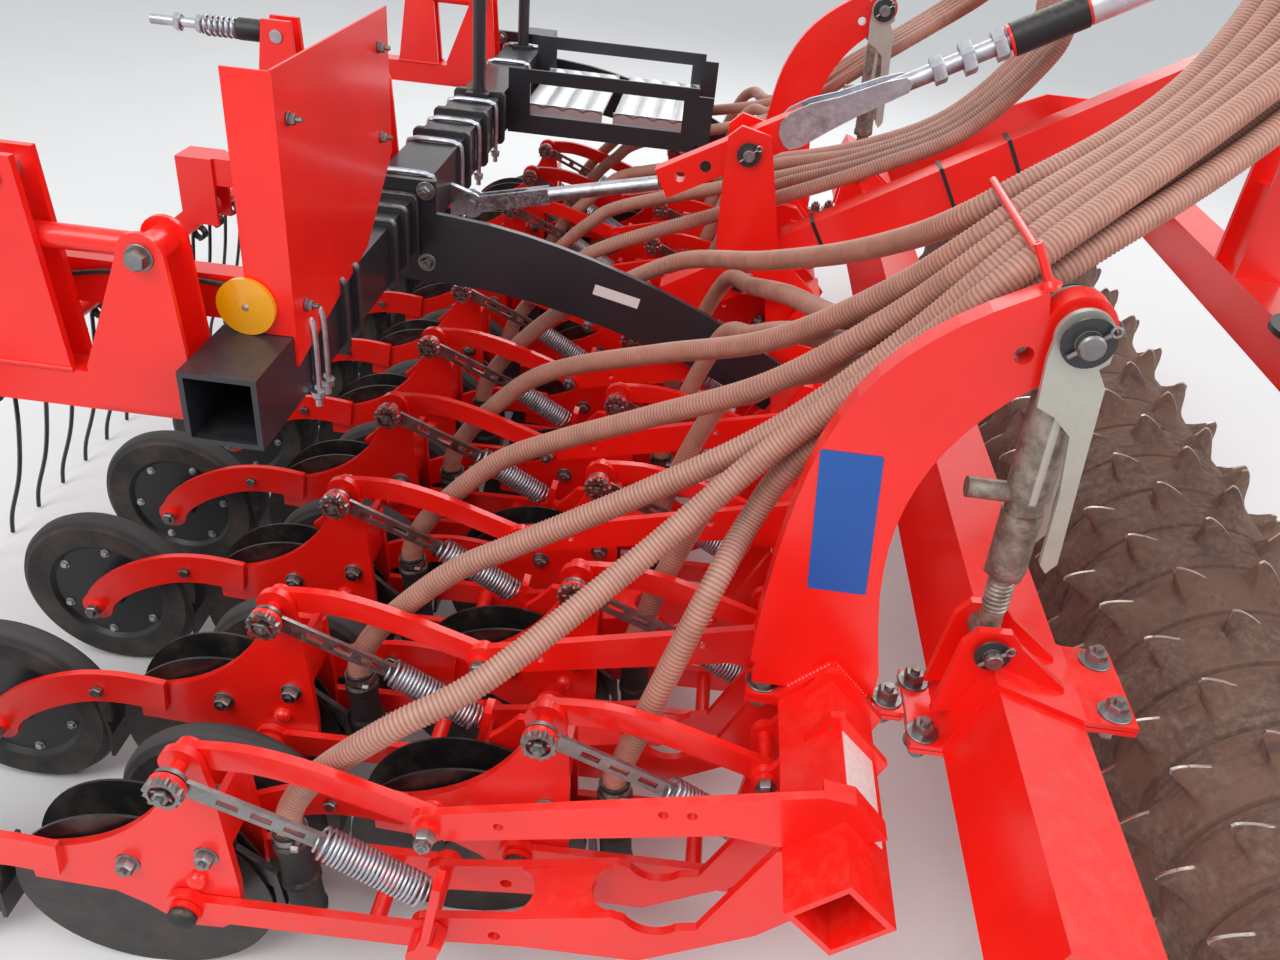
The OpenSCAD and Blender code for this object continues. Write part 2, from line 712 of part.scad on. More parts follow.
// Spindle between a neck's tip and its saddle, with hook plates at the top
module depth_spindles() {
    low = xz(clevis_at);
    top = xz(neck_tip);
    v = low - top;
    outer = hook_plate_y + 8;
    color(zinc) for (y = swan_y) translate([0, y, 0]) {
        bar_y(neck_tip, neck_pin_d, -outer - 14, outer + 14);
        bar_y(clevis_at, clevis_pin_d, -46, 46);
        for (s = [-1, 1]) {
            across(s * (hook_plate_y + 4) - 4, s * (hook_plate_y + 4) + 4) {
                translate(neck_tip) circle(d = 64);
                translate(neck_tip) polygon([[-30, 8], [34, -14], [34, -26], [25, -34],
                    [39, -56], [47, -150], [60, -296], [50, -312], [40, -300], [33, -200],
                    [20, -120], [-4, -98], [-26, -88], [-32, -30]]);
            }
            bar_y(neck_tip, 52, s * (hook_plate_y + neck_t / 2 + 0.3) / 2
                - (hook_plate_y - neck_t / 2 - 0.3) / 2, s * (hook_plate_y + neck_t / 2 + 0.3) / 2
                + (hook_plate_y - neck_t / 2 - 0.3) / 2);
        }
        rod(top + v * 0.2, top + v * 0.5, 2 * hook_plate_y);
        rod(top + v * 0.49, top + v * 0.56, 46);
        rod(top + v * 0.55, top + v * 0.74, 50);
        rod(top + v * 0.73, top + v * 0.95, 30);
        rod(top + v * 0.5 - [74, 0, 0], top + v * 0.5, 26);
        across(-23.6, 23.6) translate(clevis_at) circle(d = 42);
    }
}

// Upright on the coulter bar that takes both links: a foot between two rows and two plates
module link_post() {
    foot_top = 108;
    color(paint) translate([0, link_y, 0]) {
        across(-saddle_w / 2, saddle_w / 2) difference() {
            polygon([for (p = [[-coulter_half - 6, -4], [coulter_half + 6, -4],
                [34, foot_top + 1], [-91, foot_top + 1]]) coulter_beam_at + p]);
            diamond(coulter_beam_at, coulter_beam_s + 2 * seat_gap);
            translate(coulter_beam_at - [200, 1]) square([400, 2]);
        }
        bar_saddle(-saddle_w / 2, saddle_w / 2);
        across(-60, 60) translate(coulter_beam_at + [-91, foot_top]) square([125, 10]);
        for (s = [-1, 1]) across(s * 54 - 6, s * 54 + 6) difference() {
            polygon([for (p = [[-91, foot_top], [34, foot_top], [15, 128], [-75, 208],
                [-129, 458], [-193, 473], [-219, 448], [-215, 218], [-190, 128],
                [-165, 112]]) coulter_beam_at + p]);
            translate(lower_link_rear) circle(d = link_pin_d + 2 * run_gap);
            translate(upper_link_rear) circle(d = link_pin_d + 2 * run_gap);
        }
    }
}

// Rectangular tube from the post up to the carrier, with its pins
module lower_link() {
    v = link_front(0) - lower_link_rear;
    u = v / norm(v);
    color(paint) translate([0, link_y, 0]) {
        across(-link_w / 2, link_w / 2)
            flat_bar(lower_link_rear - u * 180, link_front(0) + u * 50, 90);
        for (p = [lower_link_rear, link_front(0)]) bar_y(p, link_pin_d, -70, 70);
        bar_y(lower_link_rear, 50, -47, 47);
    }
}

// Perforated bar, turnbuckle and cylinder between the upper pins
module upper_link() {
    v = link_front(1) - upper_link_rear;
    u = v / norm(v);
    color(paint) translate([0, link_y, 0]) {
        across(-20, 20) difference() {
            flat_bar(upper_link_rear - u * 205, upper_link_rear + u * 130, 66);
            for (k = [0, 2]) translate(upper_link_rear - u * (60 * k + 40)) circle(d = 24);
        }
        rod(xz(upper_link_rear + u * 129), xz(upper_link_rear + u * 560), 34);
        rod(xz(upper_link_rear + u * 550), xz(link_front(1) + u * 14), 62);
        for (p = [upper_link_rear, link_front(1)]) bar_y(p, link_pin_d, -70, 70);
        bar_y(upper_link_rear, 50, -47, 47);
    }
}

module rear_tube() {
    color(charcoal) across(tube_start_y, inner_y) difference() {
        translate(rear_tube_at) square(rear_tube_s, center = true);
        translate(rear_tube_at) square(rear_tube_s - 2 * tube_wall, center = true);
    }
}

// Curved plates that carry the rear tube on the coulter bar
module curved_arms() {
    curve = smooth(concat([for (p = [[15, -42], [-85, 20], [-265, 108], [-475, 178]])
        coulter_beam_at + p], [rear_tube_at + [200, -52], rear_tube_at + [-20, -40]]), 3);
    color(charcoal) for (y = curved_arm_y) across(y - 7, y + 7) difference() {
        union() {
            polygon(ribbon(curve, 96, 150));
            translate(rear_tube_at + [-90, -92]) square([190, 184]);
        }
        diamond(coulter_beam_at, coulter_beam_s + 2 * seat_gap);
        translate([coulter_beam_at[0], 300]) square(300);
        translate(rear_tube_at) square(rear_tube_s + 2 * seat_gap, center = true);
    }
}

// Lug on the rear tube and the adjusting spindle between it and the upper link's tail
module rear_spindle() {
    face = rear_tube_at[0] + rear_tube_s / 2 + seat_gap;
    foot = [face + 48, rear_tube_at[1] - 50];
    v = link_front(1) - upper_link_rear;
    end = upper_link_rear - v / norm(v) * 212;
    color(zinc) translate([0, link_y, 0]) {
        across(-8, 8) polygon([[face, foot[1] - 34], [foot[0] + 6, foot[1] - 22],
            [foot[0] + 22, foot[1]], [foot[0] + 6, foot[1] + 22], [face, foot[1] + 40]]);
        for (s = [-1, 1]) across(s * 13 - 4, s * 13 + 4) {
            flat_bar(foot, foot + (end - foot) * 0.42, 34);
            translate(foot) circle(d = 56);
        }
        bar_y(foot, 24, -22, 22);
        rod(xz(foot + (end - foot) * 0.3), xz(end), 32);
    }
}

step_l = 520;
step_h = 170;
tread_h = 40;

module step_plates() {
    from = rear_tube_at + [rear_tube_s / 2 + seat_gap, -62];
    color(charcoal) for (y = step_y) across(y - 4, y + 4) difference() {
        union() {
            translate(from) square([step_l, step_h]);
            translate(from + [step_l, 20]) square([40, step_h - 40]);
        }
        translate(from + [60, 50]) square([step_l - 100, step_h / 2]);
    }
}

module step_treads() {
    x0 = rear_tube_at[0] + rear_tube_s / 2 + 40;
    l = step_y[1] - step_y[0] - 8 - 2 * seat_gap;
    color(zinc) for (k = [0:1])
        translate([x0 + k * 250, step_y[0] + 4 + seat_gap, rear_tube_at[1] - 22]) difference() {
            cube([220, l, tread_h]);
            translate([4, -1, -1]) cube([212, l + 2, tread_h - 3]);
        }
}

module handrails() {
    color(charcoal) for (y = [step_y[0] - 120, step_y[1] + 50])
        translate([rear_tube_at[0], y, rear_tube_at[1] + rear_tube_s / 2 + seat_gap]) {
            cylinder(d = 34, h = 760);
            translate([-30, -30, 0]) cube([60, 60, 10]);
        }
}

// Stations of the sign and of its flange along the rear tube
sign_y = 700;

module sign_plate() {
    x0 = rear_tube_at[0] + rear_tube_s / 2 + seat_gap;
    color(paint) {
        translate([x0, sign_y, rear_tube_at[1] + 8]) rotate([90, 0, 90]) linear_extrude(4)
            polygon([[0, 0], [340, 60], [500, 180], [500, 420], [0, 420]]);
        translate([x0 - 64, sign_y, rear_tube_at[1] + rear_tube_s / 2 + 1])
            cube([65, 4, 370]);
    }
}

module reflector() {
    color("orange") bar_y(rear_tube_at + [-8, 98], 85, sign_y - 9, sign_y - seat_gap);
}

module harrow_supports() {
    tx = rear_tube_at[0] - rear_tube_s / 2 - seat_gap;
    tz = rear_tube_at[1];
    color(paint) for (y = support_y) translate([0, y, 0]) {
        translate([tx - 480, -30, tz - 52]) cube([480, 60, 60]);
        for (s = [-1, 1]) across(s * 24 - 6, s * 24 + 6) difference() {
            polygon([[tx - 300, tz + 8], [tx - 180, tz + 8], [tx - 200, tz + 308],
                [tx - 260, tz + 308]]);
            translate([tx - 230, tz + 278]) circle(d = harrow_rod_pin_d + 2 * run_gap);
        }
        for (s = [-1, 1]) across(s * 34 - 5, s * 34 + 5)
            translate([tx - 480, tz - 142]) square([80, 150]);
        bar_y(harrow_pivot, harrow_pin_d, -39, 39);
    }
}
harrow_rod_pin_d = 26;

module harrow_rods() {
    pin = rear_tube_at + [-rear_tube_s / 2 - seat_gap - 230, 278];
    color(zinc) for (y = support_y) translate([0, y, 0]) {
        rod(xz(pin), xz(pin - [275, 0]), 20);
        bar_y(pin, harrow_rod_pin_d, -34, 34);
    }
}

module harrow_frame() {
    color(paint) {
        bar_y(harrow_bar_at, harrow_bar_d, 80, inner_y - 20);
        for (y = support_y) across(y - 8, y + 8) difference() {
            union() {
                flat_bar(harrow_pivot, harrow_bar_at, 46);
                translate(harrow_pivot) circle(d = 64);
            }
            translate(harrow_pivot) circle(d = harrow_pin_d + 2 * run_gap);
        }
    }
}

module harrow_tines() {
    span = inner_y - 180;
    color(charcoal) for (k = [0:tine_count - 1])
        translate([0, 110 + k * span / (tine_count - 1), 0]) {
            coil = harrow_bar_at - [0, harrow_bar_d / 2 + tine_coil_d / 2 + seat_gap];
            bar_y(coil, tine_coil_d, -14, 14);
            rod(xz(coil - [tine_coil_d / 2 - tine_d / 2, 0]), [tine_tip_x, 0, 12], tine_d);
        }
}

// Outlet k of 10 in a row of the distribution head, at the distance r from its middle line
function outlet(k, row, r) = let (a = -81 + outlet_step * k)
    [head_at[0] - r * cos(a), head_at[1] + r * sin(a), outlet_z[row]];

// Route of hose i, from its sleeve through its guide to its outlet
function hose_route(i) = let (
    rear = i % 2 == 0,
    start = [unit_x(i), pivot_z] + boot_top,
    out = (boot_top - boot_foot) / norm(boot_top - boot_foot),
    bank = i < 10 ? 0 : i < 15 ? 1 : 2,
    slot = bank == 0 ? floor(i / 2) : (i - 10) % 5,
    y0 = row_y(i) + boot_y,
    y1 = guide_y[bank] + hose_pitch * (slot + (bank == 0 && !rear ? 0.5 : 0)),
    lift = start[1] - rear_rise[0][1],
    rise = [for (k = [1:len(rear ? rear_rise : front_rise) - 1])
        let (p = rear ? rear_rise[k] : front_rise[k]) [start[0] + p[0], p[1] + lift]],
    drop = rear ? [0, 0] : tier_drop * [0.81, -0.59],
    way = bank == 1 ? middle_way : bank == 2 ? inner_way
        : concat(rear ? outer_way_rear : outer_way_front, [outer_guide + drop]),
    from = i % 10 == 8 ? 340 : rear ? 110 : 50,
    reach = i == 0 ? 590 : i == 1 || i == 15 ? 160 : rear ? 900 : 300,
    swept = [for (p = concat(rise, way)) let (
        t = max(0, min((p[0] - start[0] - from) / (reach - from), 1)),
        e = t * t * (3 - 2 * t))
        [p[0], y0 + (y1 - y0) * e, p[1] - (i == 0 ? 38 * sin(180 * t) : 0)]],
    tail = bank == 0 ? [[570 + drop[0], 700 + 45 * slot, 1300 + 1.4 * drop[1]]]
        : bank == 1 ? [[660, y1, 1300]]
        : [[640, 2300 + hose_pitch * (slot - 2), 1250], [1000, 1830 + 30 * slot, 1560]],
    k = bank == 0 ? slot : 5 + slot,
    row = bank == 0 ? (rear ? 0 : 1) : bank == 1 ? 1 : 0,
    end = head_d / 2 + outlet_l
) concat([[start[0], y0, start[1]] + seat_gap * [out[0], 0, out[1]]],
    smooth(concat([[start[0], y0, start[1]] + 9 * [out[0], 0, out[1]]], swept, tail,
        [outlet(k, row, end + 90), outlet(k, row, end + 12)]), 2),
    [outlet(k, row, end + seat_gap)]);

// Unit vectors across a curve, carried along it without a twist from the vector n
function carried(c, k, n) = k >= len(c) ? [] : let (
    t = along(c, k),
    m = n - (n * t) * t,
    u = m / norm(m)
) concat([u], carried(c, k + 1, u));

// Round tube with eight sides along a curve in space
module tube_along(c, d) {
    sides = 8;
    n = len(c);
    u = carried(c, 0, [0, 1, 0]);
    points = [for (k = [0:n - 1]) let (w = cross(along(c, k), u[k])) for (j = [0:sides - 1])
        c[k] + d / 2 * (cos(360 * j / sides) * u[k] + sin(360 * j / sides) * w)];
    polyhedron(points, concat([[for (j = [0:sides - 1]) j]],
        [[for (j = [sides - 1:-1:0]) (n - 1) * sides + j]],
        [for (k = [0:n - 2]) for (j = [0:sides - 1]) let (a = k * sides + j,
            b = k * sides + (j + 1) % sides) for (f = [[a, a + sides, b + sides],
            [a, b + sides, b]]) f]));
}

module seed_hoses() {
    color([0.66, 0.42, 0.34]) for (i = [0:row_count - 1])
        tube_along(hose_route(i), hose_d);
}

// Riser on the front beam with the head that shares the seed out to the hoses
module distribution_head() {
    z0 = front_beam_at[1] + front_beam_s / 2 + seat_gap;
    bottom = outlet_z[1] - 40;
    color(charcoal) translate([head_at[0], head_at[1], 0]) {
        translate([0, 0, z0]) cylinder(d = 180, h = 12);
        translate([0, 0, z0]) cylinder(d = 110, h = bottom - 90 - z0);
        translate([0, 0, bottom]) rotate_extrude() polygon([[0, -91], [55, -91], [70, -60],
            [head_d / 2 - 14, 0], [head_d / 2, 12], [head_d / 2, 128], [head_d / 2 - 16, 146],
            [60, 168], [0, 174]]);
    }
    color(charcoal) for (row = [0, 1]) for (k = [0:9])
        rod(outlet(k, row, head_d / 2 - 6), outlet(k, row, head_d / 2 + outlet_l), 44);
}

// Bent rods that hold the bundles of hoses down: on a neck's tip or on the links
module hose_hooks() {
    lift = hose_d / 2 + hook_d / 2 + seat_gap;
    over = outer_guide + lift * [-0.81, 0.59];
    tip = neck_tip + [-43, 43];
    color(paint) {
        hook([[tip[0], swan_y[0], tip[1]], [tip[0] - 24, swan_y[0], tip[1] + 40],
            [over[0], swan_y[0] + 34, over[1]],
            [over[0], guide_y[0] + 5 * hose_pitch, over[1]]]);
    }
}

// Rod bent at its points
module hook(points) {
    for (k = [0:len(points) - 2]) let (v = points[k + 1] - points[k])
        rod(points[k], points[k + 1] + v / norm(v) * hook_d / 3, hook_d - 0.5 * (k % 2));
}

placed() {
    coulter_beam();
    rear_row_brackets();
    front_row_brackets();
    upper_arms();
    lower_arms();
    unit_heads();
    opener_bodies();
    opener_discs();
    boot_sleeves();
    wheel_scrapers();
    spring_straps();
    springs();
    for (i = [0:row_count - 1])
        press_wheel(i);
    roller_beam();
    roller_arms();
    packer_roller();
    wing_frame();
    swan_necks();
    roller_clamps();
    depth_spindles();
    link_post();
    lower_link();
    upper_link();
    rear_tube();
    curved_arms();
    rear_spindle();
    step_plates();
    step_treads();
    handrails();
    sign_plate();
    reflector();
    harrow_supports();
    harrow_rods();
    harrow_frame();
    harrow_tines();
    seed_hoses();
    distribution_head();
    hose_hooks();
}
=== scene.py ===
"""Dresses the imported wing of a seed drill: finishes, springs, hoses, fasteners and the stage."""
import json
import math

import bmesh
import bpy
import numpy as np
from bpy.props import FloatProperty, FloatVectorProperty, IntProperty, PointerProperty
from mathutils import Matrix, Vector


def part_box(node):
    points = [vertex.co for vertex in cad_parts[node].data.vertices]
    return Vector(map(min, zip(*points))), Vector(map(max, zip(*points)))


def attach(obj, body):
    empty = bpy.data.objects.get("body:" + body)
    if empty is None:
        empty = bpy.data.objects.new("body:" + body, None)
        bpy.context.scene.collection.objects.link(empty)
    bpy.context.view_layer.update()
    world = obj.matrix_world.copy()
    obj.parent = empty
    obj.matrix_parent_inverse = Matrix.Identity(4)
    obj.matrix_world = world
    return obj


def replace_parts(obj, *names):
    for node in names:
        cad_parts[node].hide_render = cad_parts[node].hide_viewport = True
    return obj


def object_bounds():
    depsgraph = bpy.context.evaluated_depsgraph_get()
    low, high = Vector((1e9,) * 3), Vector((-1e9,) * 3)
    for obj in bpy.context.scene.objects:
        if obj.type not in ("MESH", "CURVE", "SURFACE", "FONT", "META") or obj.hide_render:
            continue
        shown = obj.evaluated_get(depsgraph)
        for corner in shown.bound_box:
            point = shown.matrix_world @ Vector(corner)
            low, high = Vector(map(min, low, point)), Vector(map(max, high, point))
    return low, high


bl_info = {
    "name": "Seed drill wing",
    "version": (1, 0, 0),
    "blender": (4, 5, 0),
    "location": "3D View > Sidebar > Drill wing",
    "description": "Finishes and small pieces of a seed drill's wing",
    "category": "Object",
}

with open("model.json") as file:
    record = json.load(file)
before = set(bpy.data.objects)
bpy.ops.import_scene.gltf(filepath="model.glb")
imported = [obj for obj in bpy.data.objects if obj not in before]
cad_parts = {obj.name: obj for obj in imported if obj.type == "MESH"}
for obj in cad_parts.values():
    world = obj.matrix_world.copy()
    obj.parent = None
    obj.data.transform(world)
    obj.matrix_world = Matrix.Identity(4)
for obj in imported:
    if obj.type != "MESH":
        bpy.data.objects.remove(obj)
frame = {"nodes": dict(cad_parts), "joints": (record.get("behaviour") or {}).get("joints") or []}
CAD_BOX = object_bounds()
X, Y, Z = np.eye(3)


# Places, all worked out from the frame in metres

def mid(node):
    """Middle of a CAD node's box."""
    lo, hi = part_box(node)
    return np.array((lo + hi) / 2)


def at_y(point, y):
    """The point moved along Y to y."""
    return np.array([point[0], y, point[2]], float)


def beside(row):
    """Y of the plane half a row inward of a row, counted from 0, where necks and arms stand."""
    return float(PIVOTS[row][1]) + HALF_ROW


HALF_ROW = 0.075
HOSE_R = 0.018
WHEELS = [f"press_wheel_{i:02d}" for i in range(1, 21)]
AXLES = np.array([mid(n) for n in WHEELS])
WHEEL_R = float(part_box(WHEELS[0])[1].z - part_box(WHEELS[0])[0].z) / 2
# A unit's upper rear pivot stands this far forward of and above its press wheel's axle
PIVOTS = AXLES + [0.478, 0.0, 0.320]
# Lower and upper end of a unit's rubber boot, from its pivot
BOOT_FOOT, BOOT_TOP = np.array([0.115, 0.005, -0.328]), np.array([0.100, 0.005, -0.156])
HALF_WIDTH = float(CAD_BOX[1][1])
BAR = mid("coulter_beam")
ROLLER = np.array([j["pos_m"] for j in frame["joints"] if j["name"] == "roller_spin"][0])
ROLLER_BAR = BAR + [0.242, 0.0, 0.033]
REAR_TUBE = mid("rear_tube")
# Rear face of the tube's brackets, from which the harrow's supports start
SUPPORT_X = REAR_TUBE[0] - 0.056
SUPPORTS = np.array([0.640, 1.600, 2.700]) - HALF_WIDTH
NECK_TIP = BAR + [0.170, 0.0, 0.591]
CLEVIS = ROLLER_BAR + [-0.052, 0.0, 0.113]
NECKS = [beside(1), beside(15)]
ARMS = [beside(7), beside(17)]
POST_Y = beside(9)
LOW_LINK, TOP_LINK = ([at_y(BAR + d, POST_Y) for d in ends] for ends in (
    ([-0.151, 0, 0.139], [0.875, 0, 0.753]), ([-0.171, 0, 0.418], [0.875, 0, 0.991])))


# Shapes: arrays of points on a grid of two parameters

def unit(v):
    """Vectors divided by their lengths."""
    v = np.asarray(v, float)
    return v / np.maximum(np.linalg.norm(v, axis=-1, keepdims=True), 1e-12)


def across(t, ref):
    """The part of ref that is square to t, and their cross product, as two unit vectors."""
    u = unit(ref - np.sum(ref * t, -1, keepdims=True) * t)
    return u, np.cross(t, u)


def angles(count):
    """Angles that divide a full circle into equal parts."""
    return np.arange(count) * 2 * math.pi / count


def circle(u, w, a):
    """Points of a unit circle: u cos a + w sin a."""
    a = np.asarray(a)[..., None]
    return u * np.cos(a) + w * np.sin(a)


def turned(at, axis, profile, sides, phase=0.0):
    """Surface of revolution: for each profile point (r, h) and each angle a of the sides,
    at + h * axis + r * (u cos a + w sin a). Many places give many copies at once."""
    at = np.atleast_2d(at)
    axis = np.broadcast_to(unit(np.atleast_2d(axis)), at.shape)
    u, w = across(axis, np.where(np.abs(axis[:, :1]) > 0.9, Z, X))
    r, h = np.asarray(profile, float).T[:, :, None, None]
    ring = circle(u[:, None], w[:, None], phase + angles(sides))
    return list(at[:, None, None] + axis[:, None, None] * h + ring[:, None] * r)


def stacked(at, axis, *parts):
    """Turned parts one above the other: each has its height over the place, its profile, its
    sides and, where it isn't zero, its phase."""
    at, axis = np.asarray(at, float), np.asarray(axis, float)
    return [q for lift, *part in parts for q in turned(at + lift * unit(axis), axis, *part)]


def tube(path, radius, sides, ref=Y):
    """Circle of the given radius carried along a path, square to it: path + r (u cos a + w sin a).
    Its ends are closed by a last ring of radius zero."""
    path = np.asarray(path, float)
    r = np.concatenate([[0.0], np.broadcast_to(radius, len(path)), [0.0]])
    t = unit(np.gradient(path, axis=0))
    path, t = (np.concatenate([v[:1], v, v[-1:]]) for v in (path, t))
    u, w = across(t, ref)
    return path[:, None] + circle(u[:, None], w[:, None], angles(sides)) * r[:, None, None]


def slab(outline, at, u, v, n, low, high, middle=None):
    """Plate from an outline of (s, t) points that is star shaped round its middle:
    at + s u + t v + h n at two heights h, with each face closed in the middle."""
    q = np.asarray(outline, float)
    c = q.mean(0) if middle is None else np.asarray(middle, float)
    rows = [(c + (q - c) * k, h) for h, k in ((low, 0), (low, 1), (high, 1), (high, 0))]
    return np.stack([at + p[:, :1] * u + p[:, 1:] * v + h * n for p, h in rows])


def bar(x0, x1, y0, y1, z0, z1):
    """Rectangular bar between two corners."""
    return slab([(y0, z0), (y1, z0), (y1, z1), (y0, z1)], 0 * X, Y, Z, X, x0, x1)


def rounded(half_width, half_height, r, count):
    """Rectangle with round corners: sign(cos a) (half - r) + r cos a, and the same with sin a."""
    c = circle(X, Y, angles(count))[:, :2]
    return np.sign(c) * (np.array([half_width, half_height]) - r) + r * c


def bend(points, steps):
    """Catmull-Rom curve through the points, with the given number of steps between two of them."""
    p = np.asarray(points, float)
    p = np.concatenate([p[:1], p, p[-1:]])
    t = (np.arange(steps) / steps)[None, :, None]
    a, b, c, d = (p[k:len(p) - 3 + k, None] for k in range(4))
    q = 0.5 * (2 * b + (c - a) * t + (2 * a - 5 * b + 4 * c - d) * t ** 2
               + (3 * b - a - 3 * c + d) * t ** 3)
    return np.concatenate([q.reshape(-1, p.shape[1]), p[-1:]])


def evenly(curve, step):
    """The curve's points again, the given step apart along it, and their places along it."""
    s = np.concatenate([[0.0], np.cumsum(np.linalg.norm(np.diff(curve, axis=0), axis=1))])
    q = np.linspace(0.0, s[-1], max(int(round(s[-1] / step)), 2) + 1)
    return np.stack([np.interp(q, s, curve[:, k]) for k in range(3)], -1), q


def coil(a, b, radius, wire, turns, steps, sides):
    """Tension spring from a to b: a circle's point turns round the line between them while it
    moves along it, a + s (b - a) + R(s) (u cos 2 pi n s + w sin 2 pi n s), and R falls to nothing
    at both ends, which makes the hooks. The wire is a tube along that curve."""
    s = np.linspace(0, 1, int(turns * steps) + 1)
    t = unit(b - a)
    swell = np.clip(np.minimum(s, 1 - s) * turns / 1.2, 0, 1)
    big = radius * np.sin(swell * math.pi / 2)
    along = np.interp(s, [0, 0.09, 0.91, 1], [0, 0.12, 0.88, 1])
    path = (a + (b - a) * along[:, None]
            + big[:, None] * circle(*across(t, Y), 2 * math.pi * turns * s))
    return tube(path, wire / 2, sides, ref=t)


def bead(begin, stop, radius, pitch=0.006):
    """Weld bead between two points: half rounds of the pitch, r (1 + 0.16 cos(2 pi s / pitch))."""
    begin, stop = np.asarray(begin, float), np.asarray(stop, float)
    n = max(int(np.linalg.norm(stop - begin) / pitch) * 4, 8)
    path = begin + (stop - begin) * np.linspace(0, 1, n + 1)[:, None]
    return tube(path, radius * (1 + 0.16 * np.cos(np.arange(n + 1) * math.pi / 2)), 8)


def hexagon(across_flats, height):
    """Profile of a bolt's head with a chamfer, drawn with six sides."""
    r = across_flats / math.sqrt(3)
    return [(0, 0), (r, 0), (r, height * 0.82), (r * 0.88, height), (0, height)]


def washer(radius, height):
    """Profile of a flat round washer."""
    return [(0, 0), (radius, 0), (radius, height * 0.8), (radius * 0.96, height), (0, height)]


def sleeve(inner, outer, low, high, chamfer=0.0):
    """Profile of a sleeve's wall, closed on itself, with or without chamfers outside."""
    c = chamfer
    wall = [(outer - c, low), (outer, low + c), (outer, high - c), (outer - c, high)]
    return [(inner, low), *(wall if c else wall[::2]), (inner, high), (inner, low)]


def make(name, patches, finish, body="wing", depth=None, sharp=32):
    """Joins grids of points into one closed mesh: a quad for each cell of each grid, doubles
    merged, faces turned outwards. A grid closes along its columns, or as its two flags say. The
    depth is one number for each point."""
    verts, faces, start = [], [], 0
    for patch in patches:
        points, wrap_u, wrap_v = patch if isinstance(patch, tuple) else (patch, False, True)
        m, n = points.shape[:2]
        ids = start + np.arange(m * n).reshape(m, n)
        right = np.roll(ids, -1, 1)
        quads = np.stack([ids, right, np.roll(right, -1, 0), np.roll(ids, -1, 0)], -1)
        verts.append(points.reshape(-1, 3))
        faces.append(quads[:m if wrap_u else m - 1, :n if wrap_v else n - 1].reshape(-1, 4))
        start += m * n
    mesh = bpy.data.meshes.new(name)
    mesh.from_pydata(np.concatenate(verts).tolist(), [], np.concatenate(faces).tolist())
    if depth is not None:
        mesh.attributes.new("depth", "FLOAT", "POINT").data.foreach_set(
            "value", np.concatenate(depth).astype(np.float32))
    b = bmesh.new()
    b.from_mesh(mesh)
    bmesh.ops.remove_doubles(b, verts=b.verts, dist=2e-6)
    bmesh.ops.dissolve_degenerate(b, edges=b.edges, dist=1e-6)
    bmesh.ops.recalc_face_normals(b, faces=b.faces)
    b.to_mesh(mesh)
    b.free()
    mesh.shade_smooth()
    mesh.set_sharp_from_angle(angle=math.radians(sharp))
    piece = bpy.data.objects.new(name, mesh)
    bpy.context.scene.collection.objects.link(piece)
    mesh.materials.append(look(finish))
    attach(piece, body)
    return piece


# Materials. Each recipe gets the node tree and the place on the piece, and gives the values and
# links of the shader's inputs

def linear(hex_colour):
    """An sRGB hex colour as linear RGBA."""
    c = np.array([int(hex_colour[k:k + 2], 16) for k in (1, 3, 5)]) / 255
    c = np.where(c <= 0.04045, c / 12.92, ((c + 0.055) / 1.055) ** 2.4)
    return (*c.tolist(), 1.0)


# The output and the settings that this file mostly wants from a kind of node. Inputs by number:
# MapRange has value, from low, from high, to low, to high; Mix has factor 0 and colours 6 and 7
USUAL = {
    "Mix": (2, {"data_type": "RGBA"}),
    "MapRange": (0, {"interpolation_type": "SMOOTHSTEP"}),
    "Math": (0, {"operation": "MULTIPLY"}),
    "TexNoise": (0, {"Detail": 4.0, "Roughness": 0.6}),
    "TexCoord": ("Object", {}),
    "NewGeometry": ("Normal", {}),
    "Attribute": ("Fac", {}),
}
EVEN = {"interpolation_type": "LINEAR"}


def add(tree, kind, values=None, out=None):
    """Adds a node and gives one of its outputs. Each value is for an attribute or an input, and
    is a number, a hex colour or another node's output."""
    usual_out, usual = USUAL.get(kind, (0, {}))
    n = tree.nodes.new("ShaderNode" + kind)
    for key, value in {**usual, **(values or {})}.items():
        if isinstance(key, str) and hasattr(n, key):
            setattr(n, key, value)
        elif isinstance(value, bpy.types.NodeSocket):
            tree.links.new(value, n.inputs[key])
        else:
            n.inputs[key].default_value = linear(value) if isinstance(value, str) else value
    return n.outputs[usual_out if out is None else out] if n.outputs else n


def facing_up(t):
    """How far a face looks upwards, from 0 to 1: where dust settles, and on the hoses where a
    painted highlight goes.
    """
    return add(t, "MapRange", {0: add(t, "SeparateXYZ", {0: add(t, "NewGeometry")}, 2),
                               1: 0.15, 2: 0.95})


def about_axis(t, where, centre):
    """Distance from an axis along Y through the centre."""
    moved = add(t, "VectorMath", {"operation": "SUBTRACT", 0: where,
                                  1: (float(centre[0]), 0.0, float(centre[2]))})
    flat = add(t, "VectorMath", {"operation": "MULTIPLY", 0: moved, 1: (1.0, 0.0, 1.0)})
    return add(t, "VectorMath", {"operation": "LENGTH", 0: flat}, "Value")


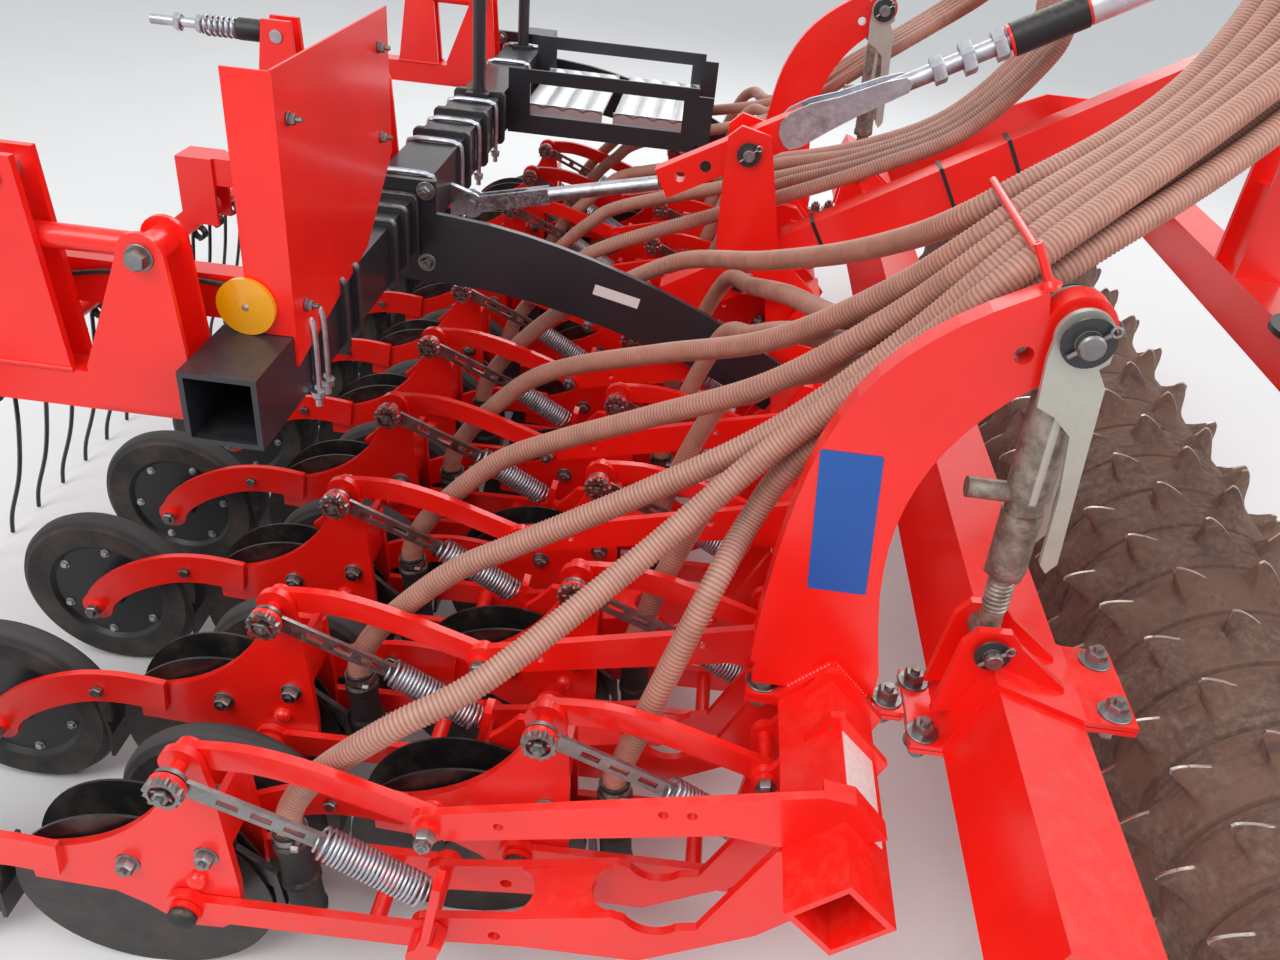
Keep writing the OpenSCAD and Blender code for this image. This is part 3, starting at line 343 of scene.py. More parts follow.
def painted(t, where, colour, dark, roughness, dust, chips, mud):
    """Powder coat on steel: an even thick film with a fine orange peel of 2 mm waves, dust on
    what faces up, dried splashes low down and a few chips to grey primer."""
    broad = add(t, "TexNoise", {"Vector": where, "Scale": 3.0, "Detail": 3.0})
    fine = add(t, "TexNoise", {"Vector": where, "Scale": 45.0, "Detail": 6.0, "Roughness": 0.7})
    splash = add(t, "TexNoise", {"Vector": where, "Scale": 26.0, "Detail": 8.0, "Roughness": 0.75})
    chip = add(t, "TexNoise", {"Vector": where, "Scale": 75.0, "Detail": 3.0, "Roughness": 0.5})
    peel = add(t, "TexNoise", {"Vector": where, "Scale": 480.0, "Detail": 1.0})
    settled = add(t, "Math", {0: facing_up(t),
                              1: add(t, "MapRange", {0: fine, 1: 0.40, 2: 0.72, 4: dust})})
    low = add(t, "MapRange", {**EVEN, 0: add(t, "SeparateXYZ", {0: where}, 2),
                              1: 0.42, 2: 0.10, 4: mud})
    wet = add(t, "Math", {0: low, 1: add(t, "MapRange", {0: splash, 1: 0.50, 2: 0.62})})
    bare = add(t, "MapRange", {0: chip, 1: chips, 2: chips + 0.02})
    tone = add(t, "Mix", {0: add(t, "MapRange", {0: broad, 1: 0.35, 2: 0.7}), 6: colour, 7: dark})
    tone = add(t, "Mix", {0: settled, 6: tone, 7: "#B7A18C"})
    tone = add(t, "Mix", {0: wet, 6: tone, 7: "#77604E"})
    return {"Base Color": add(t, "Mix", {0: bare, 6: tone, 7: "#6B6461"}),
            "Roughness": add(t, "MapRange", {**EVEN, 0: settled, 3: roughness, 4: 0.75}),
            "Coat Weight": 0.25, "Coat Roughness": 0.12,
            "Normal": add(t, "Bump", {"Height": peel, "Distance": 0.00012, "Strength": 0.5})}


def plated(t, where, low, high, dirt):
    """Zinc plate on steel: dull silver with faint cloudy spangle of 6 mm and brownish dust."""
    cell = add(t, "TexVoronoi", {"Vector": where, "Scale": 160.0}, "Color")
    cloud = add(t, "TexNoise", {"Vector": where, "Scale": 30.0, "Detail": 5.0})
    soil = add(t, "TexNoise", {"Vector": where, "Scale": 18.0, "Detail": 6.0, "Roughness": 0.7})
    soil = add(t, "MapRange", {0: soil, 1: 0.50, 2: 0.72, 4: dirt})
    tone = add(t, "Mix", {0: cloud, 6: low, 7: high})
    spangle = add(t, "SeparateColor", {0: cell})
    return {"Base Color": add(t, "Mix", {0: soil, 6: tone, 7: "#7A6A5A"}), "Metallic": 1.0,
            "Roughness": add(t, "MapRange", {**EVEN, 0: spangle, 3: 0.30, 4: 0.52}),
            "Normal": add(t, "Bump", {"Height": cloud, "Distance": 0.0002, "Strength": 0.5})}


def spindle_steel(t, where):
    """Adjusting spindles: flat hook plates of pale passivated zinc outside, and between them bare
    sleeves of brown-grey steel with grease and 10 mm scuffs; a point's distance from the neck's
    own plane tells the two apart."""
    y = add(t, "SeparateXYZ", {0: where}, 1)
    off = [add(t, "Math", {"operation": "ABSOLUTE", 0: add(
        t, "Math", {"operation": "SUBTRACT", 0: y, 1: neck})}) for neck in NECKS]
    near = add(t, "Math", {"operation": "MINIMUM", 0: off[0], 1: off[1]})
    plate = add(t, "MapRange", {0: near, 1: 0.0264, 2: 0.0268})
    cloud = add(t, "TexNoise", {"Vector": where, "Scale": 34.0, "Detail": 6.0, "Roughness": 0.7})
    streak = add(t, "TexNoise", {"Vector": where, "Scale": 120.0})
    scuff = add(t, "MapRange", {0: streak, 1: 0.56, 2: 0.80, 4: 0.4})
    grease = add(t, "MapRange", {0: streak, 1: 0.52, 2: 0.80, 4: 0.5})
    pale = add(t, "Mix", {0: cloud, 6: "#A9AB9F", 7: "#C6C8BE"})
    pale = add(t, "Mix", {0: scuff, 6: pale, 7: "#8A8A80"})
    bare = add(t, "MapRange", {0: cloud, 1: 0.35, 2: 0.65})
    bare = add(t, "Mix", {0: bare, 6: "#6F655B", 7: "#A0978B"})
    bare = add(t, "Mix", {0: grease, 6: bare, 7: "#4E443D"})
    return {"Base Color": add(t, "Mix", {0: plate, 6: bare, 7: pale}), "Metallic": 0.55,
            "Roughness": add(t, "MapRange", {**EVEN, 0: cloud, 3: 0.34, 4: 0.55}),
            "Normal": add(t, "Bump", {"Height": streak, "Distance": 0.0004, "Strength": 0.4})}


def tyre(t, where, axle):
    """Press wheel: smooth black rubber that closes on a black nylon rim; the tread is scuffed
    grey and a band beside it holds brown dust."""
    r = about_axis(t, where, axle)
    cloud = add(t, "TexNoise", {"Vector": where, "Scale": 55.0, "Detail": 6.0, "Roughness": 0.7})
    soft = add(t, "TexNoise", {"Vector": where, "Scale": 12.0, "Detail": 9.0, "Roughness": 0.62})
    rim = add(t, "MapRange", {0: r, 1: WHEEL_R - 0.062, 2: WHEEL_R - 0.046})
    outer = add(t, "MapRange", {0: r, 1: WHEEL_R - 0.004, 2: WHEEL_R - 0.014})
    band = add(t, "Math", {0: add(t, "Math", {0: rim, 1: outer}),
                           1: add(t, "MapRange", {0: soft, 1: 0.30, 2: 0.72, 4: 0.62})})
    tread = add(t, "MapRange", {0: r, 1: WHEEL_R - 0.010, 2: WHEEL_R - 0.001})
    tone = add(t, "Mix", {0: cloud, 6: "#141517", 7: "#232427"})
    tone = add(t, "Mix", {0: band, 6: tone, 7: "#5F5349"})
    tone = add(t, "Mix", {0: add(t, "Math", {0: tread, 1: 0.6}), 6: tone, 7: "#4B4948"})
    return {"Base Color": tone,
            "Roughness": add(t, "MapRange", {**EVEN, 0: rim, 3: 0.36, 4: 0.72}),
            "Normal": add(t, "Bump", {"Height": cloud, "Distance": 0.0006, "Strength": 0.4})}


def packed_soil(t, where):
    """Roller of welded steel: mill scale under dried soil of 4 to 20 mm crumbs; the tips of the
    teeth are rubbed bright by the ground."""
    crumbs = add(t, "TexNoise", {"Vector": where, "Scale": 70.0, "Detail": 8.0, "Roughness": 0.7})
    broad = add(t, "TexNoise", {"Vector": where, "Scale": 6.0})
    drawn = add(t, "Mapping", {"Vector": where, "Scale": (1.0, 6.0, 1.0)})
    film = add(t, "TexNoise", {"Vector": drawn, "Scale": 9.0, "Detail": 5.0})
    tips = add(t, "MapRange", {0: add(t, "Attribute", {"attribute_name": "depth"}),
                               1: 0.80, 2: 0.97})
    bright = add(t, "Math", {0: tips, 1: add(t, "MapRange", {0: crumbs, 1: 0.30, 2: 0.46})})
    tone = add(t, "MapRange", {0: crumbs, 1: 0.38, 2: 0.70})
    tone = add(t, "Mix", {0: tone, 6: "#6A574C", 7: "#8C7667"})
    for low, high, top, noise, colour in ((0.42, 0.66, 1.0, broad, "#7D6354"),
                                          (0.55, 0.68, 0.55, film, "#51444A")):
        tone = add(t, "Mix", {0: add(t, "MapRange", {0: noise, 1: low, 2: high, 4: top}),
                              6: tone, 7: colour})
    return {"Base Color": add(t, "Mix", {0: bright, 6: tone, 7: "#C9C2BA"}), "Metallic": bright,
            "Roughness": add(t, "MapRange", {**EVEN, 0: bright, 3: 0.88, 4: 0.34}),
            "Normal": add(t, "Bump", {"Height": crumbs, "Distance": 0.0014, "Strength": 0.5})}


def worn_blade(t, where):
    """Discs and scrapers of hard boron steel: blued black, ground smooth, with dried soil."""
    cloud = add(t, "TexNoise", {"Vector": where, "Scale": 28.0, "Detail": 6.0, "Roughness": 0.7})
    soil = add(t, "TexNoise", {"Vector": where, "Scale": 16.0, "Detail": 8.0, "Roughness": 0.7})
    soil = add(t, "MapRange", {0: soil, 1: 0.42, 2: 0.74, 4: 0.6})
    tone = add(t, "Mix", {0: cloud, 6: "#1B1C1F", 7: "#4C4A49"})
    return {"Base Color": add(t, "Mix", {0: soil, 6: tone, 7: "#6F6156"}), "Metallic": 0.7,
            "Roughness": add(t, "MapRange", {**EVEN, 0: soil, 3: 0.34, 4: 0.85}),
            "Normal": add(t, "Bump", {"Height": cloud, "Distance": 0.0005, "Strength": 0.5})}


def soft_rubber(t, where, colour, dusty, roughness):
    """Moulded rubber or plastic: matt, with a pale film of dust on what faces up."""
    cloud = add(t, "TexNoise", {"Vector": where, "Scale": 90.0, "Detail": 5.0, "Roughness": 0.7})
    dust = add(t, "Math", {0: facing_up(t),
                           1: add(t, "MapRange", {0: cloud, 1: 0.35, 2: 0.7, 4: dusty})})
    return {"Base Color": add(t, "Mix", {0: dust, 6: colour, 7: "#9A8878"}),
            "Roughness": roughness,
            "Normal": add(t, "Bump", {"Height": cloud, "Distance": 0.0003, "Strength": 0.4})}


def ribbed_plastic(t, where, crests):
    """Corrugated seed hose of soft plastic: terracotta crests, made paler where they face up as a
    painted highlight, and grooves made darker as painted shade; the piece's own attribute says how
    far down in a groove a point lies."""
    cloud = add(t, "TexNoise", {"Vector": where, "Scale": 24.0, "Detail": 5.0, "Roughness": 0.65})
    # painted highlight: the hose is made paler on what faces up
    painted_top_highlight = add(t, "Math", {0: facing_up(t), 1: 0.40})
    # painted shade: the hose is made darker the further down in a groove a point lies
    groove_shade = add(t, "MapRange", {0: add(t, "Attribute", {"attribute_name": "depth"}),
                               1: 0.20, 2: 0.95, 4: 0.60})
    crest = add(t, "Mix", {0: add(t, "MapRange", {0: cloud, 1: 0.35, 2: 0.7}),
                           6: crests, 7: "#AC7A69"})
    crest = add(t, "Mix", {0: painted_top_highlight, 6: crest, 7: "#CDA999"})
    return {"Base Color": add(t, "Mix", {0: groove_shade, 6: crest, 7: "#7C493A"}), "Roughness": 0.55}


def tread_metal(t, where):
    """Step treads of rolled aluminium: silky bright metal with a soft grey film of dirt."""
    dirt = add(t, "TexNoise", {"Vector": where, "Scale": 9.0, "Detail": 7.0, "Roughness": 0.55})
    dirt = add(t, "MapRange", {0: dirt, 1: 0.45, 2: 0.75, 4: 0.4})
    return {"Base Color": add(t, "Mix", {0: dirt, 6: "#DCDEE1", 7: "#8E8982"}), "Metallic": 1.0,
            "Roughness": add(t, "MapRange", {**EVEN, 0: dirt, 3: 0.36, 4: 0.6})}


def reflector_lens(t, where):
    """Reflector of moulded acrylic: amber, glossy, with 3 mm cube corners behind its face."""
    cell = add(t, "TexVoronoi", {"Vector": where, "Scale": 300.0, "Randomness": 0.0}, "Distance")
    tone = add(t, "MapRange", {0: cell, 1: 0.1, 2: 0.6})
    return {"Base Color": add(t, "Mix", {0: tone, 6: "#FFC414", 7: "#F0A000"}),
            "Roughness": 0.12, "Coat Weight": 0.6, "IOR": 1.49,
            "Normal": add(t, "Bump", {"Height": cell, "Distance": 0.0008, "Strength": 0.5})}


def floor_card(t, where):
    """Floor of pale card with a barely seen unevenness."""
    cloud = add(t, "TexNoise", {"Vector": where, "Scale": 2.0, "Detail": 2.0})
    return {"Base Color": add(t, "Mix", {0: cloud, 6: "#F4F4F3", 7: "#EFEFEE"}),
            "Roughness": 0.9}


def look(name):
    """The named material, made when it is first asked for."""
    own = bpy.context.scene.wing_colours
    title, recipe, *values = {
        "red": ("signal_red_powder_coat", painted, (*own.paint, 1.0), "#EC160B", 0.30, 0.10,
                0.76, 0.14),
        "charcoal": ("charcoal_powder_coat", painted, (*own.dark_paint, 1.0), "#1D1F24", 0.40,
                     0.05, 0.77, 0.15),
        "cast": ("grey_cast_iron_paint", painted, "#2B2C30", "#222428", 0.5, 0.4, 0.74, 0.6),
        "zinc": ("dull_zinc_plate", plated, "#8E9096", "#D2D4DC", 0.55),
        "bolt": ("darkened_zinc_fasteners", plated, "#5E5C5B", "#A9A8A8", 0.75),
        "chrome": ("ground_steel_rod", plated, "#BFC2C8", "#E6E8EC", 0.15),
        "spindle": ("passivated_plates_and_greasy_sleeves", spindle_steel),
        "soil": ("soil_on_rolled_steel", packed_soil),
        "blade": ("blued_boron_steel", worn_blade),
        "rear_tyre": ("press_wheel_rubber_rear_rank", tyre, AXLES[0]),
        "front_tyre": ("press_wheel_rubber_front_rank", tyre, AXLES[1]),
        "boot": ("moulded_black_rubber", soft_rubber, "#1B1C1E", 0.45, 0.62),
        "black": ("black_nylon", soft_rubber, "#17181A", 0.25, 0.45),
        "tine": ("oiled_black_spring_steel", soft_rubber, "#1A1A1C", 0.55, 0.38),
        "blank": ("blank_vinyl_plate", soft_rubber, "#E9E9E6", 0.3, 0.4),
        "blue": ("blank_blue_vinyl_plate", soft_rubber, "#0F56A8", 0.2, 0.35),
        "hose": ("corrugated_terracotta_plastic", ribbed_plastic, (*own.hose, 1.0)),
        "tread": ("rolled_aluminium", tread_metal),
        "lens": ("amber_acrylic_lens", reflector_lens),
        "floor": ("pale_floor_card", floor_card),
    }[name]
    m = bpy.data.materials.get(title)
    if m is None:
        m = bpy.data.materials.new(title)
        m.use_nodes = True
        t = m.node_tree
        t.nodes.clear()
        sockets = recipe(t, add(t, "TexCoord"), *values)
        add(t, "OutputMaterial", {"Surface": add(t, "BsdfPrincipled", sockets)})
    return m


# Pieces

def hose_routes():
    """The hoses' middle lines, by the same rule as their solids, as a list of 20 arrays."""
    gap, step = 0.0003, 0.042
    out = unit(BOOT_TOP - BOOT_FOOT)
    rise = [[[0.014, 0.384], [0.058, 0.452], [0.150, 0.550], [0.250, 0.618]],
            [[0.012, 0.384], [0.036, 0.480], [0.092, 0.645], [0.138, 0.715]]]
    shift = BAR[0] - 0.175
    way = [[[-0.110, 0.722], [0.050, 0.838], [0.190, 0.985]], [[0.085, 0.806], [0.200, 0.938]]]
    banks = [None, [[0.093, 0.772], [0.290, 0.862], [0.467, 0.962], [0.601, 1.131]],
             [[0.117, 0.734], [0.351, 0.917], [0.560, 1.075]]]
    guides = np.array([0.512, 1.736, 2.605]) - HALF_WIDTH
    head = np.array([1.120 + shift, 1.300 - HALF_WIDTH])
    head_r = 0.165
    routes = []
    for i in range(20):
        back = i % 2 == 0
        bank = 0 if i < 10 else 1 if i < 15 else 2
        slot = i // 2 if bank == 0 else (i - 10) % 5
        first = PIVOTS[i] + BOOT_TOP
        y0 = first[1]
        y1 = guides[bank] + step * (slot + (0.5 if bank == 0 and not back else 0.0))
        drop = np.array([0.0, 0.0]) if back else step * np.array([0.81, -0.59])
        lead = [[first[0] + p[0], p[1] + first[2] - 0.329] for p in rise[0 if back else 1]]
        rest = banks[bank] or [*way[0 if back else 1], [0.305 + drop[0], 1.128 + drop[1]]]
        begin = 0.340 if i % 10 == 8 else 0.110 if back else 0.050
        reach = 0.590 if i == 0 else 0.160 if i in (1, 15) else 0.900 if back else 0.300
        p = np.array(lead + [[q[0] + shift, q[1]] for q in rest])
        t = np.clip((p[:, 0] - first[0] - begin) / (reach - begin), 0, 1)
        e = t * t * (3 - 2 * t)
        z = p[:, 1] - (0.038 * np.sin(math.pi * t) if i == 0 else 0)
        swept = np.stack([p[:, 0], y0 + (y1 - y0) * e, z], -1).tolist()
        tail = ([[0.570 + drop[0] + shift, 0.700 + 0.045 * slot - HALF_WIDTH,
                  1.300 + 1.4 * drop[1]]],
                [[0.660 + shift, y1, 1.300]],
                [[0.640 + shift, 2.300 + step * (slot - 2) - HALF_WIDTH, 1.250],
                 [1.000 + shift, 1.830 + 0.030 * slot - HALF_WIDTH, 1.560]])[bank]
        z_out = 1.690 if (bank == 0 and back) or bank == 2 else 1.630
        a = math.radians(-81 + 20 * (slot if bank == 0 else 5 + slot))
        outlet = [[head[0] - r * math.cos(a), head[1] + r * math.sin(a), z_out]
                  for r in (head_r + 0.090, head_r + 0.012, head_r + gap)]
        middle = bend([list(first + 0.009 * out)] + swept + tail + outlet[:2], 12)
        routes.append(np.concatenate([[first + gap * out], middle, [outlet[2]]]))
    return routes


class WING_PG_springs(bpy.types.PropertyGroup):
    """Sizes of the coil springs."""
    wire: FloatProperty(name="Wire", description="Diameter of a spring's wire",
                        default=0.0044, min=0.003, max=0.008, unit="LENGTH")
    turns: IntProperty(name="Turns", description="Turns of a spring", default=25, min=8, max=30)


class WING_PG_hoses(bpy.types.PropertyGroup):
    """Sizes of the corrugated hoses."""
    pitch: FloatProperty(name="Rib pitch", description="Distance from rib to rib",
                         default=0.006, min=0.006, max=0.02, unit="LENGTH")
    groove: FloatProperty(name="Groove", description="Depth of a groove",
                          default=0.0018, min=0.0005, max=0.004, unit="LENGTH")


class WING_PG_colours(bpy.types.PropertyGroup):
    """Colours of the paints and the hoses."""
    paint: FloatVectorProperty(name="Paint", description="Main powder coat", subtype="COLOR",
                               size=3, default=linear("#FA1D10")[:3], min=0, max=1)
    dark_paint: FloatVectorProperty(name="Dark paint", description="Powder coat of the rear tube",
                                    subtype="COLOR", size=3, default=linear("#25272D")[:3],
                                    min=0, max=1)
    hose: FloatVectorProperty(name="Hoses", description="Crests of the hoses", subtype="COLOR",
                              size=3, default=linear("#C48D79")[:3], min=0, max=1)


class WING_PG_stage(bpy.types.PropertyGroup):
    """Light and backdrop."""
    key: FloatProperty(name="Key light", description="Power of the large lamp",
                       default=150.0, min=0.0, unit="POWER")
    sky: FloatProperty(name="Surround", description="Strength of the even light all round",
                       default=0.62, min=0.0, max=2.0)
    lens: FloatProperty(name="Lens", description="Focal length of the camera in millimetres",
                        default=29.64, min=10.0, max=200.0)
    ground: FloatVectorProperty(name="Backdrop", description="Colour behind the object",
                                subtype="COLOR", size=3, default=(1.0, 1.0, 1.0), min=0, max=1)


class WING_OT_finishes(bpy.types.Operator):
    """Gives every CAD node its finish"""
    bl_idname = "wing.finishes"
    bl_label = "Finishes of the solids"

    def execute(self, context):
        looks = {
            "charcoal": ["rear_tube", "curved_arms", "step_plates", "handrails",
                         "distribution_head"],
            "cast": ["opener_bodies"],
            "zinc": ["springs", "rear_spindle", "harrow_rods"],
            "bolt": ["spring_straps"],
            "spindle": ["depth_spindles"],
            "soil": ["packer_roller"],
            "blade": ["opener_discs", "wheel_scrapers"],
            "boot": ["boot_sleeves"],
            "tine": ["harrow_tines"],
            "tread": ["step_treads"],
            "lens": ["reflector"],
            "hose": ["seed_hoses"],
            "rear_tyre": WHEELS[0::2],
            "front_tyre": WHEELS[1::2],
        }
        of_node = {n: k for k, names in looks.items() for n in names}
        for name, node in frame["nodes"].items():
            material = look(of_node.get(name, "red"))
            if not node.data.materials:
                node.data.materials.append(material)
            for s in node.material_slots:
                s.material = material
        return {"FINISHED"}


class WING_OT_springs(bpy.types.Operator):
    """Coil springs of the twenty units, from their ladder straps down to their blocks"""
    bl_idname = "wing.springs"
    bl_label = "Coil springs"

    def execute(self, context):
        p = context.scene.wing_springs
        upper, lower, radius = [0.170, -0.0715, -0.069], [0.3085, -0.0715, -0.149], 0.0195
        coils = [coil(v + upper, v + lower, radius, p.wire, p.turns, 12, 6) for v in PIVOTS]
        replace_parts(make("coil_springs", coils, "zinc", sharp=60), "springs")
        return {"FINISHED"}


class WING_OT_hoses(bpy.types.Operator):
    """Corrugated hoses from the boots through their guides to the distribution head: each second
    ring of a tube is drawn in by the groove's depth, except in the plain cuffs at its ends"""
    bl_idname = "wing.hoses"
    bl_label = "Seed hoses"

    def execute(self, context):
        p = context.scene.wing_hoses
        for name, picked, sides in (("seed_hoses_outer", range(10), 12),
                                    ("seed_hoses_inner", range(10, 20), 8)):
            tubes, depths = [], []
            for i in picked:
                points, s = evenly(HOSES[i], p.pitch / 2)
                groove = np.arange(len(s)) % 2.0
                groove = groove * np.clip(np.minimum(s, s[-1] - s) / 0.03 - 0.8, 0, 1)
                tubes.append(tube(points, HOSE_R - p.groove * groove, sides))
                depths.append(np.repeat(np.concatenate([[0.0], groove, [0.0]]), sides))
            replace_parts(make(name, tubes, "hose", depth=depths, sharp=75),
                        "seed_hoses")
        return {"FINISHED"}


def toothed_roller(y0, y1, drum, tip, rings=24, teeth=12, around=22):
    """Packer roller: r(a, y) = camber(y) + (fin(a) - camber(y)) ridge(y), where the camber falls by
    12 mm times (2 y / pitch)^2 to the ring's edges, the fin rises steeply with the turn a and falls
    on a long hollow slope, and the ridge narrows upward from 56 mm at its foot to 4 mm at its
    crest. Each ring is turned by a third of a tooth against the last. The second array says how
    far a point is rubbed bright, on crests that stand more than a few millimetres up."""
    pitch = (y1 - y0 - 0.120) / (rings - 1)
    half, shaft = pitch / 2, 0.030
    a = angles(teeth * around)
    turn_at = [0.0, 0.03, 0.06, 0.10, 0.18, 0.30, 0.42, 0.56, 0.70, 0.86, 1.0]
    fin_at = [0.0, 0.66, 0.92, 1.00, 0.93, 0.74, 0.52, 0.30, 0.14, 0.03, 0.0]
    # distance from the ring's edge, or from its middle, and the ridge there; -1 is a groove
    edge = ((0.0015, -1.0), (0.005, 0.0), (0.022, 0.0))
    ridge = ((0.028, 0.10), (0.014, 0.42), (0.006, 0.80), (0.0022, 1.0))
    ys, rs, rub = [y0, y0], [0 * a, 0 * a + shaft], [0 * a, 0 * a]
    for j in range(rings):
        yc = y0 + 0.060 + j * pitch
        turn = (a * teeth / (2 * math.pi) + 0.105 + (j % 3) / 3) % 1.0
        fin = drum - 0.010 + (tip - drum + 0.010) * np.interp(turn, turn_at, fin_at)
        left = max(yc - half, y0) if j else y0
        right = min(yc + half, y1) if j < rings - 1 else y1
        rows = ([(left + d, k) for d, k in edge] + [(yc - d, k) for d, k in ridge]
                + [(yc + d, k) for d, k in ridge[::-1]] + [(right - d, k) for d, k in edge[::-1]])
        for y, k in rows:
            camber = drum + 0.006 - 0.012 * (abs(y - yc) / half) ** 2
            r = np.full_like(a, drum - 0.012 if k < 0 else camber)
            r = r + np.maximum(fin - r, 0.0) * max(k, 0.0)
            ys.append(y)
            rs.append(r)
            rub.append(np.clip((r - drum - 0.012) / 0.012, 0.0, 1.0) * (k == 1.0))
    ys += [y1, y1]
    rs += [0 * a + shaft, 0 * a]
    rub += [0 * a, 0 * a]
    centre = at_y(ROLLER, 0.0)
    points = centre + np.array(ys)[:, None, None] * Y + np.stack(rs)[..., None] * circle(Z, X, a)
    return points, np.concatenate(rub)


class WING_OT_roller(bpy.types.Operator):
    """Toothed rings, drum and stub shafts of the packer roller"""
    bl_idname = "wing.roller"
    bl_label = "Packer roller"

    def execute(self, context):
        lo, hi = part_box("packer_roller")
        arms_lo, arms_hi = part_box("roller_arms")
        y0, y1 = float(arms_lo.y) + 0.032, float(arms_hi.y) - 0.032
        drum, rubbed = toothed_roller(y0, y1, 0.210, float(hi.z - lo.z) / 2)
        shafts = []
        for end, s, reach in ((y0, -1, y0 - float(lo.y)), (y1, 1, float(hi.y) - y1)):
            stub = [(0.0, -0.001), (0.030, -0.001), (0.030, reach - 0.002), (0.028, reach),
                    (0.0, reach)]
            shafts += turned(at_y(ROLLER, end), s * Y, stub, 32)
        depths = [rubbed] + [np.zeros(q.shape[0] * q.shape[1]) for q in shafts]
        piece = make("toothed_roller", [drum, *shafts], "soil", "roller", depths, 40)
        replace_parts(piece, "packer_roller")
        return {"FINISHED"}


class WING_OT_unit_fasteners(bpy.types.Operator):
    """Bolts, nuts, caps, rings and clips of the coulter units"""
    bl_idname = "wing.unit_fasteners"
    bl_label = "Unit fasteners"

    def execute(self, context):
        stud = washer(0.0055, 0.006)
        bolts = []
        for x, z in ((-0.100, -0.205), (0.010, -0.168)):
            bolts += stacked(PIVOTS + [x, -0.047, z], -Y, (0, washer(0.0165, 0.0025), 14),
                             (0.0025, hexagon(0.022, 0.012), 6, 0.3), (0.0135, stud, 8))
        bolts += stacked(AXLES + [0, -0.068, 0], -Y, (0, hexagon(0.024, 0.012), 6),
                         (0.011, washer(0.007, 0.006), 8))
        bolts += turned(PIVOTS + [-0.296, -0.059, -0.208], -Y, hexagon(0.017, 0.009), 6, 0.5)
        # serrated adjusting ring with spokes and a nut, on the upper pivot's outer end
        hub = PIVOTS + [0.0, -0.084, 0.0]
        a = angles(48)
        teeth = (0.0225 + 0.0018 * np.sign(np.sin(a * 12)))[:, None]
        flat, back = circle(X, Z, a), -0.010 * Y
        ring = np.stack([0.0165 * flat, 0.0165 * flat + back, teeth * flat + back, teeth * flat,
                         0.0165 * flat])
        spokes = circle(X, Z, np.arange(3) * math.pi / 3) * 0.018
        for v in hub:
            bolts.append(v + ring)
            bolts += [tube([v + d - 0.0035 * Y, v - d - 0.0035 * Y], 0.0028, 6) for d in spokes]
        bolts += stacked(hub, -Y, (0, hexagon(0.019, 0.015), 6), (0.015, stud, 8))
        # hose clips on the boots, each with its screw
        out = unit(BOOT_TOP - BOOT_FOOT)
        clip = PIVOTS + BOOT_FOOT + out * 0.163
        bolts += turned(clip, out, sleeve(0.0226, 0.0240, -0.005, 0.005), 20)
        bolts += turned(clip + [0.012, -0.026, 0.0], [1, 0, 0.1], hexagon(0.009, 0.010), 6)
        # castle nuts on the arms' front pins with their nipples
        nipple = [(0, 0), (0.0105, 0), (0.0105, 0.006), (0.006, 0.006), (0.006, 0.008),
                  (0.003, 0.009), (0.003, 0.013), (0, 0.014)]
        bolts += stacked(PIVOTS + [0.302, -0.0545, -0.058], -Y,
                         (0, hexagon(0.024, 0.013), 6, 0.2), (0.0125, nipple, 10))
        make("unit_bolts", bolts, "bolt")
        dome = [(0, 0), (0.014, 0), (0.0135, 0.005), (0.010, 0.010), (0.005, 0.0125), (0, 0.013)]
        boss = [(0.0, 0.0), (0.024, 0.0), (0.024, 0.006), (0.020, 0.009), (0.0, 0.009)]
        bosses = turned(PIVOTS + [-0.008, -0.047, -0.220], -Y, dome, 16)
        bosses += turned(PIVOTS + [0.0, -0.0775, 0.0], -Y, boss, 20)
        make("unit_bosses", bosses, "red")
        cap = [(0, 0), (0.019, 0), (0.020, 0.004), (0.018, 0.010), (0.011, 0.014), (0, 0.015)]
        caps = turned(PIVOTS + [-0.026, -0.0690, -0.272], -Y, cap, 18)
        caps += turned(PIVOTS + [0.300, -0.0600, -0.262], -Y, cap, 18)
        make("pivot_caps", caps, "boot")
        return {"FINISHED"}


class WING_OT_wheel_faces(bpy.types.Operator):
    """Six bright bolts on both faces of each press wheel"""
    bl_idname = "wing.wheel_faces"
    bl_label = "Wheel faces"

    def execute(self, context):
        for i, name in enumerate(WHEELS):
            turn = i * 0.37
            ring = circle(X, Z, turn + np.arange(6) * math.pi / 3) * (WHEEL_R - 0.073)
            half = float(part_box(name)[1].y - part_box(name)[0].y) / 2
            bolts = []
            for s in (-1, 1):
                bolts += stacked(AXLES[i] + ring + s * (half - 0.0115) * Y, s * Y,
                                 (0, washer(0.0085, 0.0015), 12),
                                 (0.0015, hexagon(0.011, 0.005), 6, turn))
            make(f"wheel_bolts_{i + 1:02d}", bolts, "zinc", f"wheel_{i + 1:02d}")
        return {"FINISHED"}


